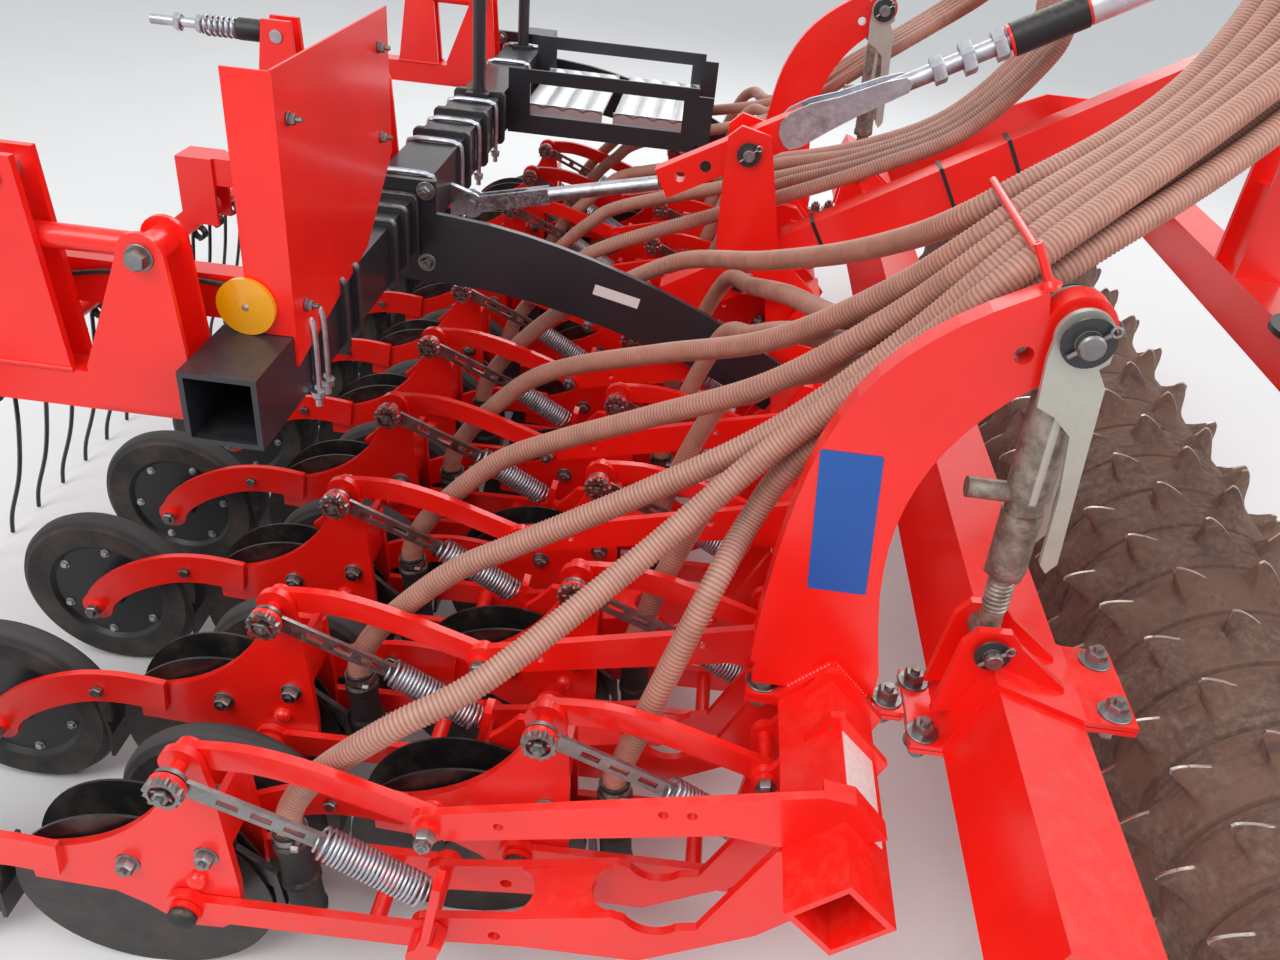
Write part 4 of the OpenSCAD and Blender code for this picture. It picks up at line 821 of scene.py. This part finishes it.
class WING_OT_bar_fasteners(bpy.types.Operator):
    """Bolts of the saddles, clamps, links and bearings"""
    bl_idname = "wing.bar_fasteners"
    bl_label = "Bar fasteners"

    def execute(self, context):
        def bolt(points, axis, size):
            return stacked(points, axis, (0, washer(size * 0.85, 0.003), 16),
                           (0.003, hexagon(size, size * 0.62), 6, 0.4),
                           (0.002 + size * 0.62, washer(size * 0.27, size * 0.3), 10))

        # ears of the saddles, then of the clamps behind and before the leaning roller bar
        places = [[at_y(BAR + s * 0.0876 * X, y) for s in (-1, 1) for y in (*NECKS, POST_Y)]]
        lean, half = math.radians(19), 0.065
        c, s = half * math.cos(lean), half * math.sin(lean)
        for corner, x in (([-c - s, 0, -c + s], -0.027), ([c + s, 0, c - s], 0.042)):
            places.append([at_y(ROLLER_BAR + corner + x * X, y + side * 0.050)
                           for y in NECKS for side in (-1, 1)])
        zinc = []
        for ears in places:
            for s in (1, -1):
                zinc += bolt(np.array(ears) + s * 0.008 * Z, s * Z, 0.026)
        # ends of the cross pins: a dark washer, the chamfered pin and its split pin
        dark = []
        ends = [(at_y(p, y), reach, r) for p, reach, r in ((CLEVIS, 0.046, 0.012),
                                                           (NECK_TIP, 0.049, 0.015)) for y in NECKS]
        ends += [(p, 0.070, 0.013) for p in (*LOW_LINK, *TOP_LINK)]
        along, up = circle(X, Z, 0.7), circle(Z, -X, 0.7)
        for p, reach, r in ends:
            for s in (-1, 1):
                c = p + s * (reach - 0.004) * Y
                dark += turned(c, s * Y, sleeve(r + 0.0003, r * 1.95, 0, 0.0035), 28)
                zinc += turned(c, s * Y, [(0, 0.001), (r * 0.99, 0.001), (r * 0.99, 0.015),
                                          (r * 0.84, 0.018), (0, 0.018)], 24)
                c = c + s * 0.009 * Y
                eye = circle(along, up, np.arange(13) * 2 * math.pi / 12)
                zinc.append(tube([c - along * r * 1.7, c + along * r * 1.5], 0.0028, 8))
                zinc.append(tube(c + along * (r * 1.5 + 0.006) + 0.0055 * eye, 0.002, 6))
        make("pin_washers", dark, "cast")
        # bearings of the roller: flange with four bolts outside each side plate
        lo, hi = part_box("roller_arms")
        cast = []
        ring = circle(X, Z, math.pi / 4 + np.arange(4) * math.pi / 2) * 0.052
        for y, s in ((lo.y, -1), (hi.y, 1)):
            c = at_y(ROLLER, y)
            cast += turned(c, s * Y, [(0.0305, 0), (0.068, 0), (0.068, 0.009), (0.050, 0.011),
                                      (0.044, 0.022), (0.0305, 0.022), (0.0305, 0)], 32)
            zinc += bolt(c + ring + s * 0.0095 * Y, s * Y, 0.019)
        # bolts of the curved arms' heads round the rear tube
        for y in ARMS:
            for dx, dz in ((-0.075, 0.072), (0.080, 0.072), (-0.075, -0.075), (0.080, -0.075)):
                for s in (-1, 1):
                    zinc += bolt(at_y(REAR_TUBE, y) + [dx, s * 0.007, dz], s * Y, 0.022)
        make("bar_bolts", zinc, "bolt")
        make("bearing_flanges", cast, "cast")
        return {"FINISHED"}


class WING_OT_welds(bpy.types.Operator):
    """Weld beads where plates stand on tubes and straps"""
    bl_idname = "wing.welds"
    bl_label = "Weld beads"

    def execute(self, context):
        lo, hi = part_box("sign_plate")
        corner = np.array([lo.x + 0.0635, lo.y + 0.012, hi.z])
        beads = [bead(corner - 0.02 * Z, corner - 0.36 * Z, 0.003)]
        # the saddle's ridge stands this far over the middle of the coulter bar
        ridge = 0.0750
        for y in NECKS:
            for side in (-1, 1):
                top = at_y(BAR, y) + side * 0.0165 * Y + ridge * Z
                beads += [bead(top + [front * 0.001, 0, -0.001], top + [front * 0.052, 0, -0.052],
                               0.0045) for front in (-1, 1)]
        for y in SUPPORTS:
            for side in (-1, 1):
                foot = np.array([SUPPORT_X, y + side * 0.0300, REAR_TUBE[2] + 0.009])
                beads.append(bead(foot - 0.176 * X, foot - 0.300 * X, 0.004))
        make("weld_beads", beads, "red", sharp=60)
        return {"FINISHED"}


class WING_OT_spindle_threads(bpy.types.Operator):
    """Trapezoid threads on the depth spindles' lower screws: a helical ridge with
    r = R + d max(min(2 cos(2 pi h / pitch - angle), 1), -1)"""
    bl_idname = "wing.spindle_threads"
    bl_label = "Spindle threads"

    def execute(self, context):
        screws = []
        for y in NECKS:
            top, low = at_y(NECK_TIP, y), at_y(CLEVIS, y)
            a, b = top + (low - top) * 0.745, top + (low - top) * 0.9
            t = unit(b - a)
            length = float(np.linalg.norm(b - a))
            h = np.linspace(0, length, int(length / 0.0012))
            turn = angles(20)
            wave = np.clip(2 * np.cos(2 * math.pi * h[:, None] / 0.007 - turn), -1, 1)
            fade = np.clip(np.minimum(h, length - h) / 0.004, 0, 1)[:, None]
            r = 0.0145 + fade * (0.0014 + 0.0014 * wave)
            body = a + t * h[:, None, None] + circle(*across(t, Y), turn) * r[..., None]
            screws.append(np.concatenate([np.broadcast_to(a, (1, 20, 3)), body,
                                          np.broadcast_to(b, (1, 20, 3))]))
            screws += turned(top + (low - top) * 0.735, t, hexagon(0.046, 0.018), 6)
        make("spindle_threads", screws, "spindle", sharp=50)
        return {"FINISHED"}


class WING_OT_tube_clamps(bpy.types.Operator):
    """Round U-bolts with nuts, and flat clamp frames of 12 by 16 mm bar, on the rear tube"""
    bl_idname = "wing.tube_clamps"
    bl_label = "U-bolts and clamp frames"

    def execute(self, context):
        clamps, frames, h = [], [], 0.0615
        bow_y = np.array([0.760, 0.800, 1.480, 1.720, 1.900, 2.100, 2.580, 2.820]) - HALF_WIDTH
        frame_y = np.array([0.900, 0.965, 1.180, 1.255, 1.330, 1.405, 1.790, 1.980,
                            2.190]) - HALF_WIDTH
        bow = [[h, 0, -0.090], [h, 0, 0.040], [h - 0.012, 0, h - 0.004], [0.03, 0, h],
               [-0.03, 0, h], [-h + 0.012, 0, h - 0.004], [-h, 0, 0.040], [-h, 0, -0.090]]
        for y in bow_y:
            c = at_y(REAR_TUBE, y)
            clamps.append(tube(c + bend(bow, 5), 0.006, 8))
            for s in (-1, 1):
                clamps += stacked(c + [s * h, 0, -0.0635], -Z, (0.0025, hexagon(0.019, 0.010), 6),
                                  (0, washer(0.012, 0.0025), 14))
        make("tube_clamps", clamps, "zinc")
        for y in frame_y:
            frames.append(np.stack([
                at_y(REAR_TUBE, y + off) + np.insert(rounded(half, half, r, 40), 1, 0.0, 1)
                for off, half, r in ((-0.008, 0.0553, 0.004), (-0.008, 0.066, 0.012),
                                     (-0.006, 0.068, 0.014), (0.006, 0.068, 0.014),
                                     (0.008, 0.066, 0.012), (0.008, 0.0553, 0.004),
                                     (-0.008, 0.0553, 0.004))]))
        make("clamp_frames", frames, "cast")
        return {"FINISHED"}


class WING_OT_treads(bpy.types.Operator):
    """Corrugated step treads: z = h |sin(pi x / 55 mm)|^0.7 along X, with a flat rim at each end"""
    bl_idname = "wing.treads"
    bl_label = "Corrugated treads"

    def execute(self, context):
        lo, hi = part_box("step_treads")
        wide, sheet = 0.220, 0.003
        x = np.linspace(0, wide, 89)
        high = float(lo.z) + 0.0305 + 0.0095 * np.abs(np.sin(math.pi * x / 0.055)) ** 0.7
        patches = []
        for x0 in (float(lo.x), float(hi.x) - wide):
            shell = np.stack([np.stack([x0 + x, np.full(89, y), z], -1) for y, z in (
                (lo.y, high), (hi.y, high), (hi.y, high - sheet), (lo.y, high - sheet))])
            patches.append((shell, True, False))
            patches += [(shell[[[0, 1], [3, 2]], k], False, False) for k in (0, -1)]
            patches += [bar(x0, x0 + wide, y, y + sheet, lo.z, hi.z)
                        for y in (float(lo.y), float(hi.y) - sheet)]
        piece = make("corrugated_treads", patches, "tread", sharp=50)
        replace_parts(piece, "step_treads")
        return {"FINISHED"}


class WING_OT_tines(bpy.types.Operator):
    """Harrow tines: a coil of 3 1/4 turns under the bar and a long leg that trails back to the
    ground"""
    bl_idname = "wing.tines"
    bl_label = "Harrow tines"

    def execute(self, context):
        lo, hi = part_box("harrow_tines")
        x, z, r = float(hi.x) - 0.020, float(hi.z) - 0.020, 0.0155
        s = np.linspace(0, 1, 50)
        turn = -math.pi / 2 + 2 * math.pi * 3.25 * s
        tines = []
        for y in np.linspace(lo.y + 0.014, hi.y - 0.014, 30):
            loop = np.array([x, y - 0.012, z]) + 0.024 * s[:, None] * Y + r * circle(X, Z, turn)
            leg = bend([[x - r, y - 0.010, z - 0.004], [x - 0.035, y - 0.002, 0.300],
                        [x - 0.065, y, 0.170], [lo.x + 0.018, y, 0.060],
                        [lo.x + 0.006, y, 0.006]], 6)
            tines += [tube(loop[::-1], 0.0043, 6), tube(leg, 0.0046, 6)]
        piece = make("coiled_tines", tines, "tine", "harrow", sharp=60)
        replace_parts(piece, "harrow_tines")
        return {"FINISHED"}


class WING_OT_plates(bpy.types.Operator):
    """Blank plates on the coulter bar and the neck, the welds of the hose hooks' feet, and the
    clips on the distribution head's outlets"""
    bl_idname = "wing.plates"
    bl_label = "Blank plates and clips"

    def execute(self, context):
        slope = math.sqrt(0.5)
        feet, clips = [], []
        for y in NECKS:
            d = unit([-0.024, 0, 0.040])
            feet += turned(at_y(NECK_TIP, y) + [-0.043, 0, 0.043] - d * 0.005, d,
                           [(0, 0), (0.012, 0), (0.0115, 0.003), (0.008, 0.007), (0.0052, 0.010),
                            (0, 0.010)], 20)
        make("hook_welds", feet, "red")
        # on the bar's upper front face
        face = at_y(BAR, 0.262 - HALF_WIDTH) + [0.0318, 0, 0.0318]
        plate = slab(rounded(0.072, 0.034, 0.004, 32), face, Y, slope * (X - Z), slope * (X + Z),
                     0.0002, 0.0008, (0, 0))
        make("bar_plate", [plate], "blank")
        # on the neck's side, leaning with it
        side = at_y(BAR, NECKS[0]) + [-0.030, -0.0152, 0.300]
        plate = slab(rounded(0.038, 0.104, 0.004, 32), side, X, Z - 0.10 * X, -Y, 0.0, 0.0007,
                     (0, 0))
        make("neck_plate", [plate], "blue")
        for route in HOSES:
            d = unit(route[-2] - route[-1])
            clips += turned(route[-1] + d * 0.004, d, sleeve(0.0186, 0.0205, 0, 0.010), 18)
        make("outlet_clips", clips, "black")
        return {"FINISHED"}


class WING_OT_lamp_bar(bpy.types.Operator):
    """Channel for the rear lamps beside the sign, with its clipped cable and bent wire stay"""
    bl_idname = "wing.lamp_bar"
    bl_label = "Lamp bar"

    def execute(self, context):
        lo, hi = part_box("reflector")
        y, z = float(hi.y) + 0.012, float(lo.z + hi.z) / 2 + 0.004
        x1 = float(hi.x) + 0.010
        x0 = x1 - 0.560
        t, h, d = 0.004, 0.034, 0.034
        web = bar(x0, x1, y - t, y, z - h, z + h)
        flanges = [bar(x0, x1, y, y + d, z - h, z - h + t), bar(x0, x1, y, y + d, z + h - t, z + h)]
        make("lamp_channel", [web, *flanges], "red")
        rivets = np.array([[x, y - t, z - 0.016] for x in np.linspace(x0 + 0.05, x1 - 0.09, 4)])
        studs = turned(rivets, -Y, [(0, 0), (0.005, 0), (0.004, 0.003), (0, 0.004)], 10)
        middle = [float(lo.x + hi.x) / 2, float(lo.y) + 0.0004, float(lo.z + hi.z) / 2]
        studs += turned(middle, -Y, [(0, 0), (0.0052, 0), (0.0042, 0.0022), (0, 0.003)], 16)
        make("lamp_rivets", studs, "zinc")
        corner = np.array([x1, y, z])
        cable = bend(corner + [[-0.05, -0.010, 0.020], [-0.14, -0.012, 0.026],
                               [-0.25, -0.012, 0.022], [-0.34, -0.012, 0.006],
                               [-0.42, -0.012, 0.000], [-0.465, -0.010, 0.030],
                               [-0.478, -0.008, 0.090], [-0.470, -0.004, 0.150],
                               [-0.476, 0.004, 0.200]], 6)
        stay = bend(corner + [[-0.486, 0.004, -0.010], [-0.487, 0.004, 0.120],
                              [-0.484, 0.006, 0.215]], 6)
        black = [tube(cable, 0.0042, 8)]
        for k in (8, 17, 26, 36, 44):
            black += turned(cable[k], cable[k + 1] - cable[k - 1],
                            sleeve(0.0046, 0.0062, -0.003, 0.003), 12)
        make("lamp_cable", black, "black")
        make("cable_stay", [tube(stay, 0.004, 8)], "red")
        return {"FINISHED"}


class WING_OT_pivot_brackets(bpy.types.Operator):
    """Triangular bracket pairs with a hex bolt on the harrow's carriers, and their round stays"""
    bl_idname = "wing.pivot_brackets"
    bl_label = "Pivot brackets"

    def execute(self, context):
        z0 = REAR_TUBE[2] - 0.040
        eye = np.array([SUPPORT_X - 0.045, 0.0, REAR_TUBE[2] + 0.196])
        arc = (eye + 0.033 * circle(X, Z, np.linspace(-0.03 * math.pi, math.pi, 13)))[:, ::2]
        side = [(SUPPORT_X - 0.002, z0), (SUPPORT_X - 0.002, z0 + 0.085), *arc,
                (SUPPORT_X - 0.150, z0 + 0.062), (SUPPORT_X - 0.150, z0)]
        middle = (SUPPORT_X - 0.060, z0 + 0.100)
        red, bolts = [], []
        for y in SUPPORTS:
            top = at_y(eye, y)
            for s in (-1, 1):
                red.append(slab(side, y * Y, X, Z, s * Y, 0.0302, 0.0382, middle))
                bolts += stacked(top + s * 0.0382 * Y, s * Y, (0, washer(0.019, 0.003), 20),
                                 (0.003, hexagon(0.027, 0.015), 6, 0.4))
            red += turned(top - 0.030 * Y, Y, [(0, 0), (0.021, 0), (0.021, 0.060), (0, 0.060)], 24)
            red.append(tube([top - 0.010 * X, top - 0.165 * X], 0.0175, 24))
        make("pivot_brackets", red, "red")
        make("pivot_bolts", bolts, "bolt")
        return {"FINISHED"}


class WING_OT_rod_springs(bpy.types.Operator):
    """Compression springs, black sleeves and nuts on the harrow's rods"""
    bl_idname = "wing.rod_springs"
    bl_label = "Rod springs"

    def execute(self, context):
        lo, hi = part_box("harrow_rods")
        x, z = float(hi.x) - 0.045, float(lo.z + hi.z) / 2
        turns = 6
        s = np.linspace(0, 1, turns * 14 + 1)
        springs, sleeves, nuts = [], [], []
        for y in SUPPORTS:
            a, b = np.array([x - 0.130, y, z]), np.array([x - 0.060, y, z])
            path = a + (b - a) * s[:, None] + 0.0185 * circle(Y, Z, 2 * math.pi * turns * s)
            springs.append(tube(path, 0.0032, 6, ref=X))
            sleeves += turned(b, X, [(0.0103, 0.001), (0.020, 0.001), (0.022, 0.004),
                                     (0.022, 0.052), (0.020, 0.056), (0.0103, 0.056),
                                     (0.0103, 0.001)], 24)
            nuts += stacked([x, y, z], X, (-0.144, hexagon(0.032, 0.012), 6),
                            (-0.190, hexagon(0.032, 0.012), 6))
        make("rod_springs", springs, "zinc", sharp=60)
        make("rod_sleeves", sleeves, "black")
        make("rod_nuts", nuts, "zinc")
        return {"FINISHED"}


class WING_OT_link_spindle(bpy.types.Operator):
    """Adjusting spindle of the upper link: hook plates, nuts, black sleeve and ground rod"""
    bl_idname = "wing.link_spindle"
    bl_label = "Upper link's spindle"

    def execute(self, context):
        low, high = TOP_LINK
        u = unit(high - low)
        n = np.array([-u[2], 0, u[0]])
        length = float(np.linalg.norm(high - low))
        zinc = turned(low + u * 0.131, u, sleeve(0.0171, 0.0182, 0, 0.419, 0.0015), 28)
        zinc += stacked(low, u, *((h, hexagon(across_flats, 0.026), 6) for h, across_flats in
                                  ((0.395, 0.052), (0.455, 0.060), (0.520, 0.056))))
        # two hook plates beside the rod: flat, rounded at the bolt and narrowing to the front
        side = [(0.070, -0.020), (0.078, -0.032), (0.100, -0.036), (0.170, -0.026), (0.230, -0.020),
                (0.340, -0.014), (0.352, 0.0), (0.344, 0.016), (0.300, 0.024), (0.210, 0.030),
                (0.150, 0.040), (0.105, 0.038), (0.078, 0.026), (0.068, 0.004)]
        painted_holes = []
        for s in (-1, 1):
            zinc.append(slab(side, low, u, n, s * Y, 0.0215, 0.0285, (0.20, 0.0)))
            # a thin black disc on each face of the bar behind the link's end: painted shade that
            # stands for a bolt hole
            painted_holes += turned(low - u * 0.100 + s * 0.0199 * Y, s * Y,
                            [(0, 0), (0.0120, 0), (0.0120, 0.0006), (0, 0.0006)], 28)
        make("link_hook_plates", zinc, "zinc", sharp=40)
        make("link_painted_holes", painted_holes, "black")
        black = turned(low + u * 0.556, u, sleeve(0.0311, 0.0335, 0, 0.144, 0.0015), 28)
        make("link_sleeve", black, "black")
        rod = turned(low + u * 0.704, u, sleeve(0, 0.0318, 0, length - 0.736, 0.0015)[:-1], 28)
        make("link_rod", rod, "chrome")
        return {"FINISHED"}


class WING_OT_small_marks(bpy.types.Operator):
    """Sign bolts, ties round the lower link and the white blank plate on a curved arm"""
    bl_idname = "wing.small_marks"
    bl_label = "Sign bolts and ties"

    def execute(self, context):
        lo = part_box("sign_plate")[0]
        places = np.array([[lo.x + 0.069, lo.y + dy, lo.z + dz] for dy, dz in
                           ((0.045, 0.080), (0.040, 0.350), (0.440, 0.220), (0.445, 0.365))])
        bolts = stacked(places, X, (0, washer(0.010, 0.002), 14), (0.002, hexagon(0.014, 0.008), 6),
                        (0.009, washer(0.004, 0.010), 8))
        make("sign_bolts", bolts, "bolt")
        # each tie is a flat band round the link's rectangle, 8 mm wide
        way = LOW_LINK[1] - LOW_LINK[0]
        v = unit(way)
        n = np.array([-v[2], 0, v[0]])
        box = np.array([sy * 0.0292 * Y + sz * 0.0462 * n
                        for sy, sz in ((-1, -1), (1, -1), (1, 1), (-1, 1))])
        band = [box + v * off + grow * unit(box) * 1.4 for off, grow in
                ((-0.004, 0), (-0.004, 0.0016), (0.004, 0.0016), (0.004, 0), (-0.004, 0))]
        ties = [LOW_LINK[0] + way * t + np.stack(band) for t in (0.16, 0.40, 0.52)]
        make("link_ties", ties, "black", sharp=20)
        mark = np.array([BAR[0] - 0.405, ARMS[0] - 0.0072, 0.652])
        d = unit([1.0, 0, -0.22])
        corner = [(-0.048, -0.011), (0.048, -0.011), (0.048, 0.011), (-0.048, 0.011)]
        plate = slab(corner, mark, d, np.array([-d[2], 0, d[0]]), -Y, 0, 0.0006, (0, 0))
        make("arm_plate", [plate], "blank")
        return {"FINISHED"}


class WING_OT_stage(bpy.types.Operator):
    """Floor, lamps, surround and the camera at the photograph's angle"""
    bl_idname = "wing.stage"
    bl_label = "Stage"

    def execute(self, context):
        p, scene = context.scene.wing_stage, context.scene
        ground, far = bpy.data.meshes.new("floor"), 14
        ground.from_pydata([(-far, -far, 0), (far, -far, 0), (far, far, 0), (-far, far, 0)], [],
                           [(0, 1, 2, 3)])
        floor = bpy.data.objects.new("floor", ground)
        scene.collection.objects.link(floor)
        ground.materials.append(look("floor"))
        world = bpy.data.worlds.new("surround")
        scene.world = world
        world.use_nodes = True
        tree = world.node_tree
        tree.nodes.clear()
        # the backdrop is what the camera, glossy and clear surfaces see; the object is lit evenly
        seen = add(tree, "LightPath", out="Is Camera Ray")
        for ray in ("Is Glossy Ray", "Is Transmission Ray"):
            seen = add(tree, "Math", {"operation": "MAXIMUM", 0: seen,
                                      1: add(tree, "LightPath", out=ray)})
        lit = add(tree, "Background", {"Color": (0.93, 0.96, 1.0, 1), "Strength": p.sky})
        shown = add(tree, "Background", {"Color": (*p.ground, 1), "Strength": 1.0})
        add(tree, "OutputWorld", {"Surface": add(tree, "MixShader", {0: seen, 1: lit, 2: shown})})
        for name, place, aim, size, power in (
                ("key", (-2.2, -3.6, 4.6), (0.2, 0.0, 0.3), 3.2, p.key),
                ("fill", (3.6, -2.2, 3.2), (0.2, -0.4, 0.4), 2.6, p.key * 0.45),
                ("back", (0.6, 3.4, 3.6), (0.0, 0.0, 0.5), 3.0, p.key * 0.5)):
            lamp = bpy.data.lights.new(name, "AREA")
            lamp.size, lamp.energy = size, power
            o = bpy.data.objects.new(name, lamp)
            o.location = place
            o.rotation_mode = "QUATERNION"
            o.rotation_quaternion = (Vector(aim) - Vector(place)).to_track_quat("-Z", "Y")
            scene.collection.objects.link(o)
        lens = bpy.data.cameras.new("view")
        lens.lens, lens.sensor_width = p.lens, 36.0
        camera = bpy.data.objects.new("view", lens)
        scene.collection.objects.link(camera)
        right = Vector((0.9917, 0.0913, 0.0903)).normalized()
        ahead = Vector((-0.02725, 0.83679, -0.54685)).normalized()
        down = ahead.cross(right).normalized()
        ahead = right.cross(down).normalized()
        turn = Matrix((right, -down, -ahead)).transposed()
        camera.matrix_world = Matrix.Translation(
            (0.0355, -0.650 - HALF_WIDTH, 1.519)) @ turn.to_4x4()
        scene.camera = camera
        scene.view_settings.view_transform = "Standard"
        return {"FINISHED"}


HOSES = hose_routes()
GROUPS = {"wing_springs": WING_PG_springs, "wing_hoses": WING_PG_hoses,
          "wing_colours": WING_PG_colours, "wing_stage": WING_PG_stage}
OPERATORS = (WING_OT_stage, WING_OT_finishes, WING_OT_springs, WING_OT_hoses, WING_OT_roller,
             WING_OT_unit_fasteners, WING_OT_wheel_faces, WING_OT_bar_fasteners,
             WING_OT_spindle_threads, WING_OT_tube_clamps, WING_OT_treads, WING_OT_tines,
             WING_OT_plates, WING_OT_lamp_bar, WING_OT_rod_springs, WING_OT_link_spindle,
             WING_OT_pivot_brackets, WING_OT_welds, WING_OT_small_marks)


class WING_PT_panel(bpy.types.Panel):
    """Lists the pieces of the wing"""
    bl_idname = "WING_PT_panel"
    bl_label = "Drill wing"
    bl_space_type = "VIEW_3D"
    bl_region_type = "UI"
    bl_category = "Drill wing"

    def draw(self, context):
        for group in GROUPS:
            values = getattr(context.scene, group)
            for key in values.__annotations__:
                self.layout.prop(values, key)
        for c in OPERATORS:
            self.layout.operator(c.bl_idname)


def register():
    for c in (*GROUPS.values(), *OPERATORS, WING_PT_panel):
        bpy.utils.register_class(c)
    for name, c in GROUPS.items():
        setattr(bpy.types.Scene, name, PointerProperty(type=c))


def unregister():
    for name in GROUPS:
        delattr(bpy.types.Scene, name)
    for c in reversed((*GROUPS.values(), *OPERATORS, WING_PT_panel)):
        bpy.utils.unregister_class(c)


def main():
    register()
    for c in OPERATORS:
        getattr(bpy.ops.wing, c.bl_idname.split(".")[1])()


if __name__ == "__main__":
    main()
